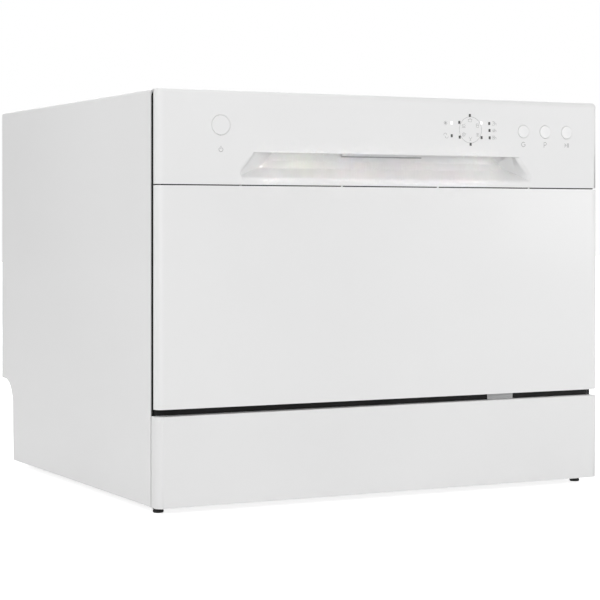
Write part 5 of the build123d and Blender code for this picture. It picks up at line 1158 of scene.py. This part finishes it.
for side in (-1, 1):
    wallAt = (basket["from"] + basket["to"]) / 2 + side * (basket["to"] - basket["from"]) / 6
    basketParts.append(boxOf({"left": basket["left"] + divider["side"], "right": basket["right"] - divider["side"],
                              "from": wallAt - divider["half"], "to": wallAt + divider["half"],
                              "low": basket["low"] + divider["foot"], "high": basket["high"] - divider["top"],
                              "rim": divider["rim"]}))
basketParts.append(prism([at(x, basket["handleFrom"], z) for x, z in basket["handle"]],
                         (0, basket["handleWide"] * mm, 0), basket["handleRim"]))
basketParts.append(wire(levelLoop(basket["left"], basket["right"], basket["from"], basket["to"], basket["high"]),
                        basket["rimWire"] * mm, basket["corner"] * mm, True))
takesOver(joined(basketParts), "cutleryLattice", "cutlery_basket")
print("cutlery basket cut out")


# spray arm: two hollow blades with rounded backs, a raised keel and nozzles
arm = {"level": 150.0, "thick": 8.0, "reach": 185.0, "root": 23.0, "tip": 15.0, "edge": 2.6,
       "keelInset": 3.5, "keelStep": 0.8, "keelDrop": 0.7, "bore": [(9.3, -3), (9.3, 14)],
       "nozzle": [(0, 7.2), (0.9, 7.2), (0.9, 8.9), (1.5, 9.1), (2.4, 8.5), (2.8, 7.0), (0, 7.0)],
       "nozzlePlaces": ((60, 5), (90, -4), (120, 4), (150, -3), (172, 0))}
armMiddle = Vector((0, 0, arm["level"] * mm))
tipX = arm["reach"] - arm["tip"]
armOutline = [(0, arm["root"]), (tipX, arm["tip"])]
armOutline += [(tipX + arm["tip"] * sin(radians(turn)), arm["tip"] * cos(radians(turn))) for turn in range(15, 166, 15)]
armOutline += [(tipX, -arm["tip"]), (0, -arm["root"])]
armOutline += [(-x, -y) for x, y in armOutline[1:-1]]
armBody = prism([armMiddle + Vector((x, y, 0)) * mm for x, y in armOutline], (0, 0, arm["thick"] * mm))
modified(armBody, "BEVEL", width=arm["edge"] * mm, segments=4, limit_method="ANGLE", angle_limit=radians(60))
edit(armBody)
pick(armBody, "FACE", lambda co, normal: normal.z > 0.95)
bpy.ops.mesh.inset(thickness=arm["keelInset"] * mm, depth=0)
bpy.ops.mesh.inset(thickness=arm["keelStep"] * mm, depth=-arm["keelDrop"] * mm)
leaveEdit()
cutOut(armBody, turnedOut(capped(turnedShape(arm["bore"], armMiddle, "Z", 40))))
firstAway, firstShift = arm["nozzlePlaces"][0]
nozzle = turnedShape(arm["nozzle"], armMiddle + Vector((firstAway, firstShift, 0)) * mm, "Z", 18)
armParts = [armBody]
for away, shift in arm["nozzlePlaces"]:
    for side in (-1, 1):
        armParts.append(copyAt(nozzle, Vector((side * away - firstAway, side * shift - firstShift, 0)) * mm))
bpy.data.objects.remove(nozzle)
takesOver(joined(armParts), "sprayBlades", "spray_arm")
print("spray arm modelled")


# caps: a knurled rim with a grip bar across
knurl = {"ribRim": 0.25, "gripRim": 0.9}


def grippedCap(name, nodeName, centre, axis, size):
    cap = turnedShape(size["outline"], centre, axis)
    rib = blockAt(*[centre + Vector(corner) * mm for corner in size["rib"]], knurl["ribRim"], 2)
    grip = blockAt(*[centre + Vector(corner) * mm for corner in size["grip"]], knurl["gripRim"], 3)
    takesOver(joined([cap, spunAround(rib, size["ribs"], centre, axis), grip]), name, nodeName)


rinseLow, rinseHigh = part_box("rinse_aid_cap")
rinse = {"seat": 6.0, "rib": ((-0.6, 0.2, 12.3), (0.6, 2.2, 13.0)), "ribs": 30, "grip": ((-2, 0.8, -11), (2, 6.0, 11)),
         "outline": [(0, -6.5), (7.85, -6.5), (7.85, 0), (12.4, 0), (12.7, 0.3), (12.7, 1.9), (12.2, 2.4),
                     (9.5, 2.4), (9.0, 1.9), (0, 1.9)]}
rinseCentre = Vector(((rinseLow[0] + rinseHigh[0]) / 2, rinseHigh[1] - rinse["seat"] * mm,
                      (rinseLow[2] + rinseHigh[2]) / 2))
grippedCap("rinseCapKnurled", "rinse_aid_cap", rinseCentre, "Y", rinse)
saltLow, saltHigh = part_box("salt_cap")
salt = {"seat": 5.5, "rib": ((23.2, -0.7, 0.2), (24.0, 0.7, 2.8)), "ribs": 40, "grip": ((-17, -2, 1.5), (17, 2, 5.5)),
        "outline": [(0, -8), (18.8, -8), (18.8, 0), (23.2, 0), (23.6, 0.4), (23.6, 2.4), (23.0, 3),
                    (19.5, 3), (19.0, 2.4), (0, 2.4)]}
saltCentre = Vector(((saltLow[0] + saltHigh[0]) / 2, (saltLow[1] + saltHigh[1]) / 2, saltHigh[2] - salt["seat"] * mm))
grippedCap("saltCapKnurled", "salt_cap", saltCentre, "Z", salt)
print("caps knurled")
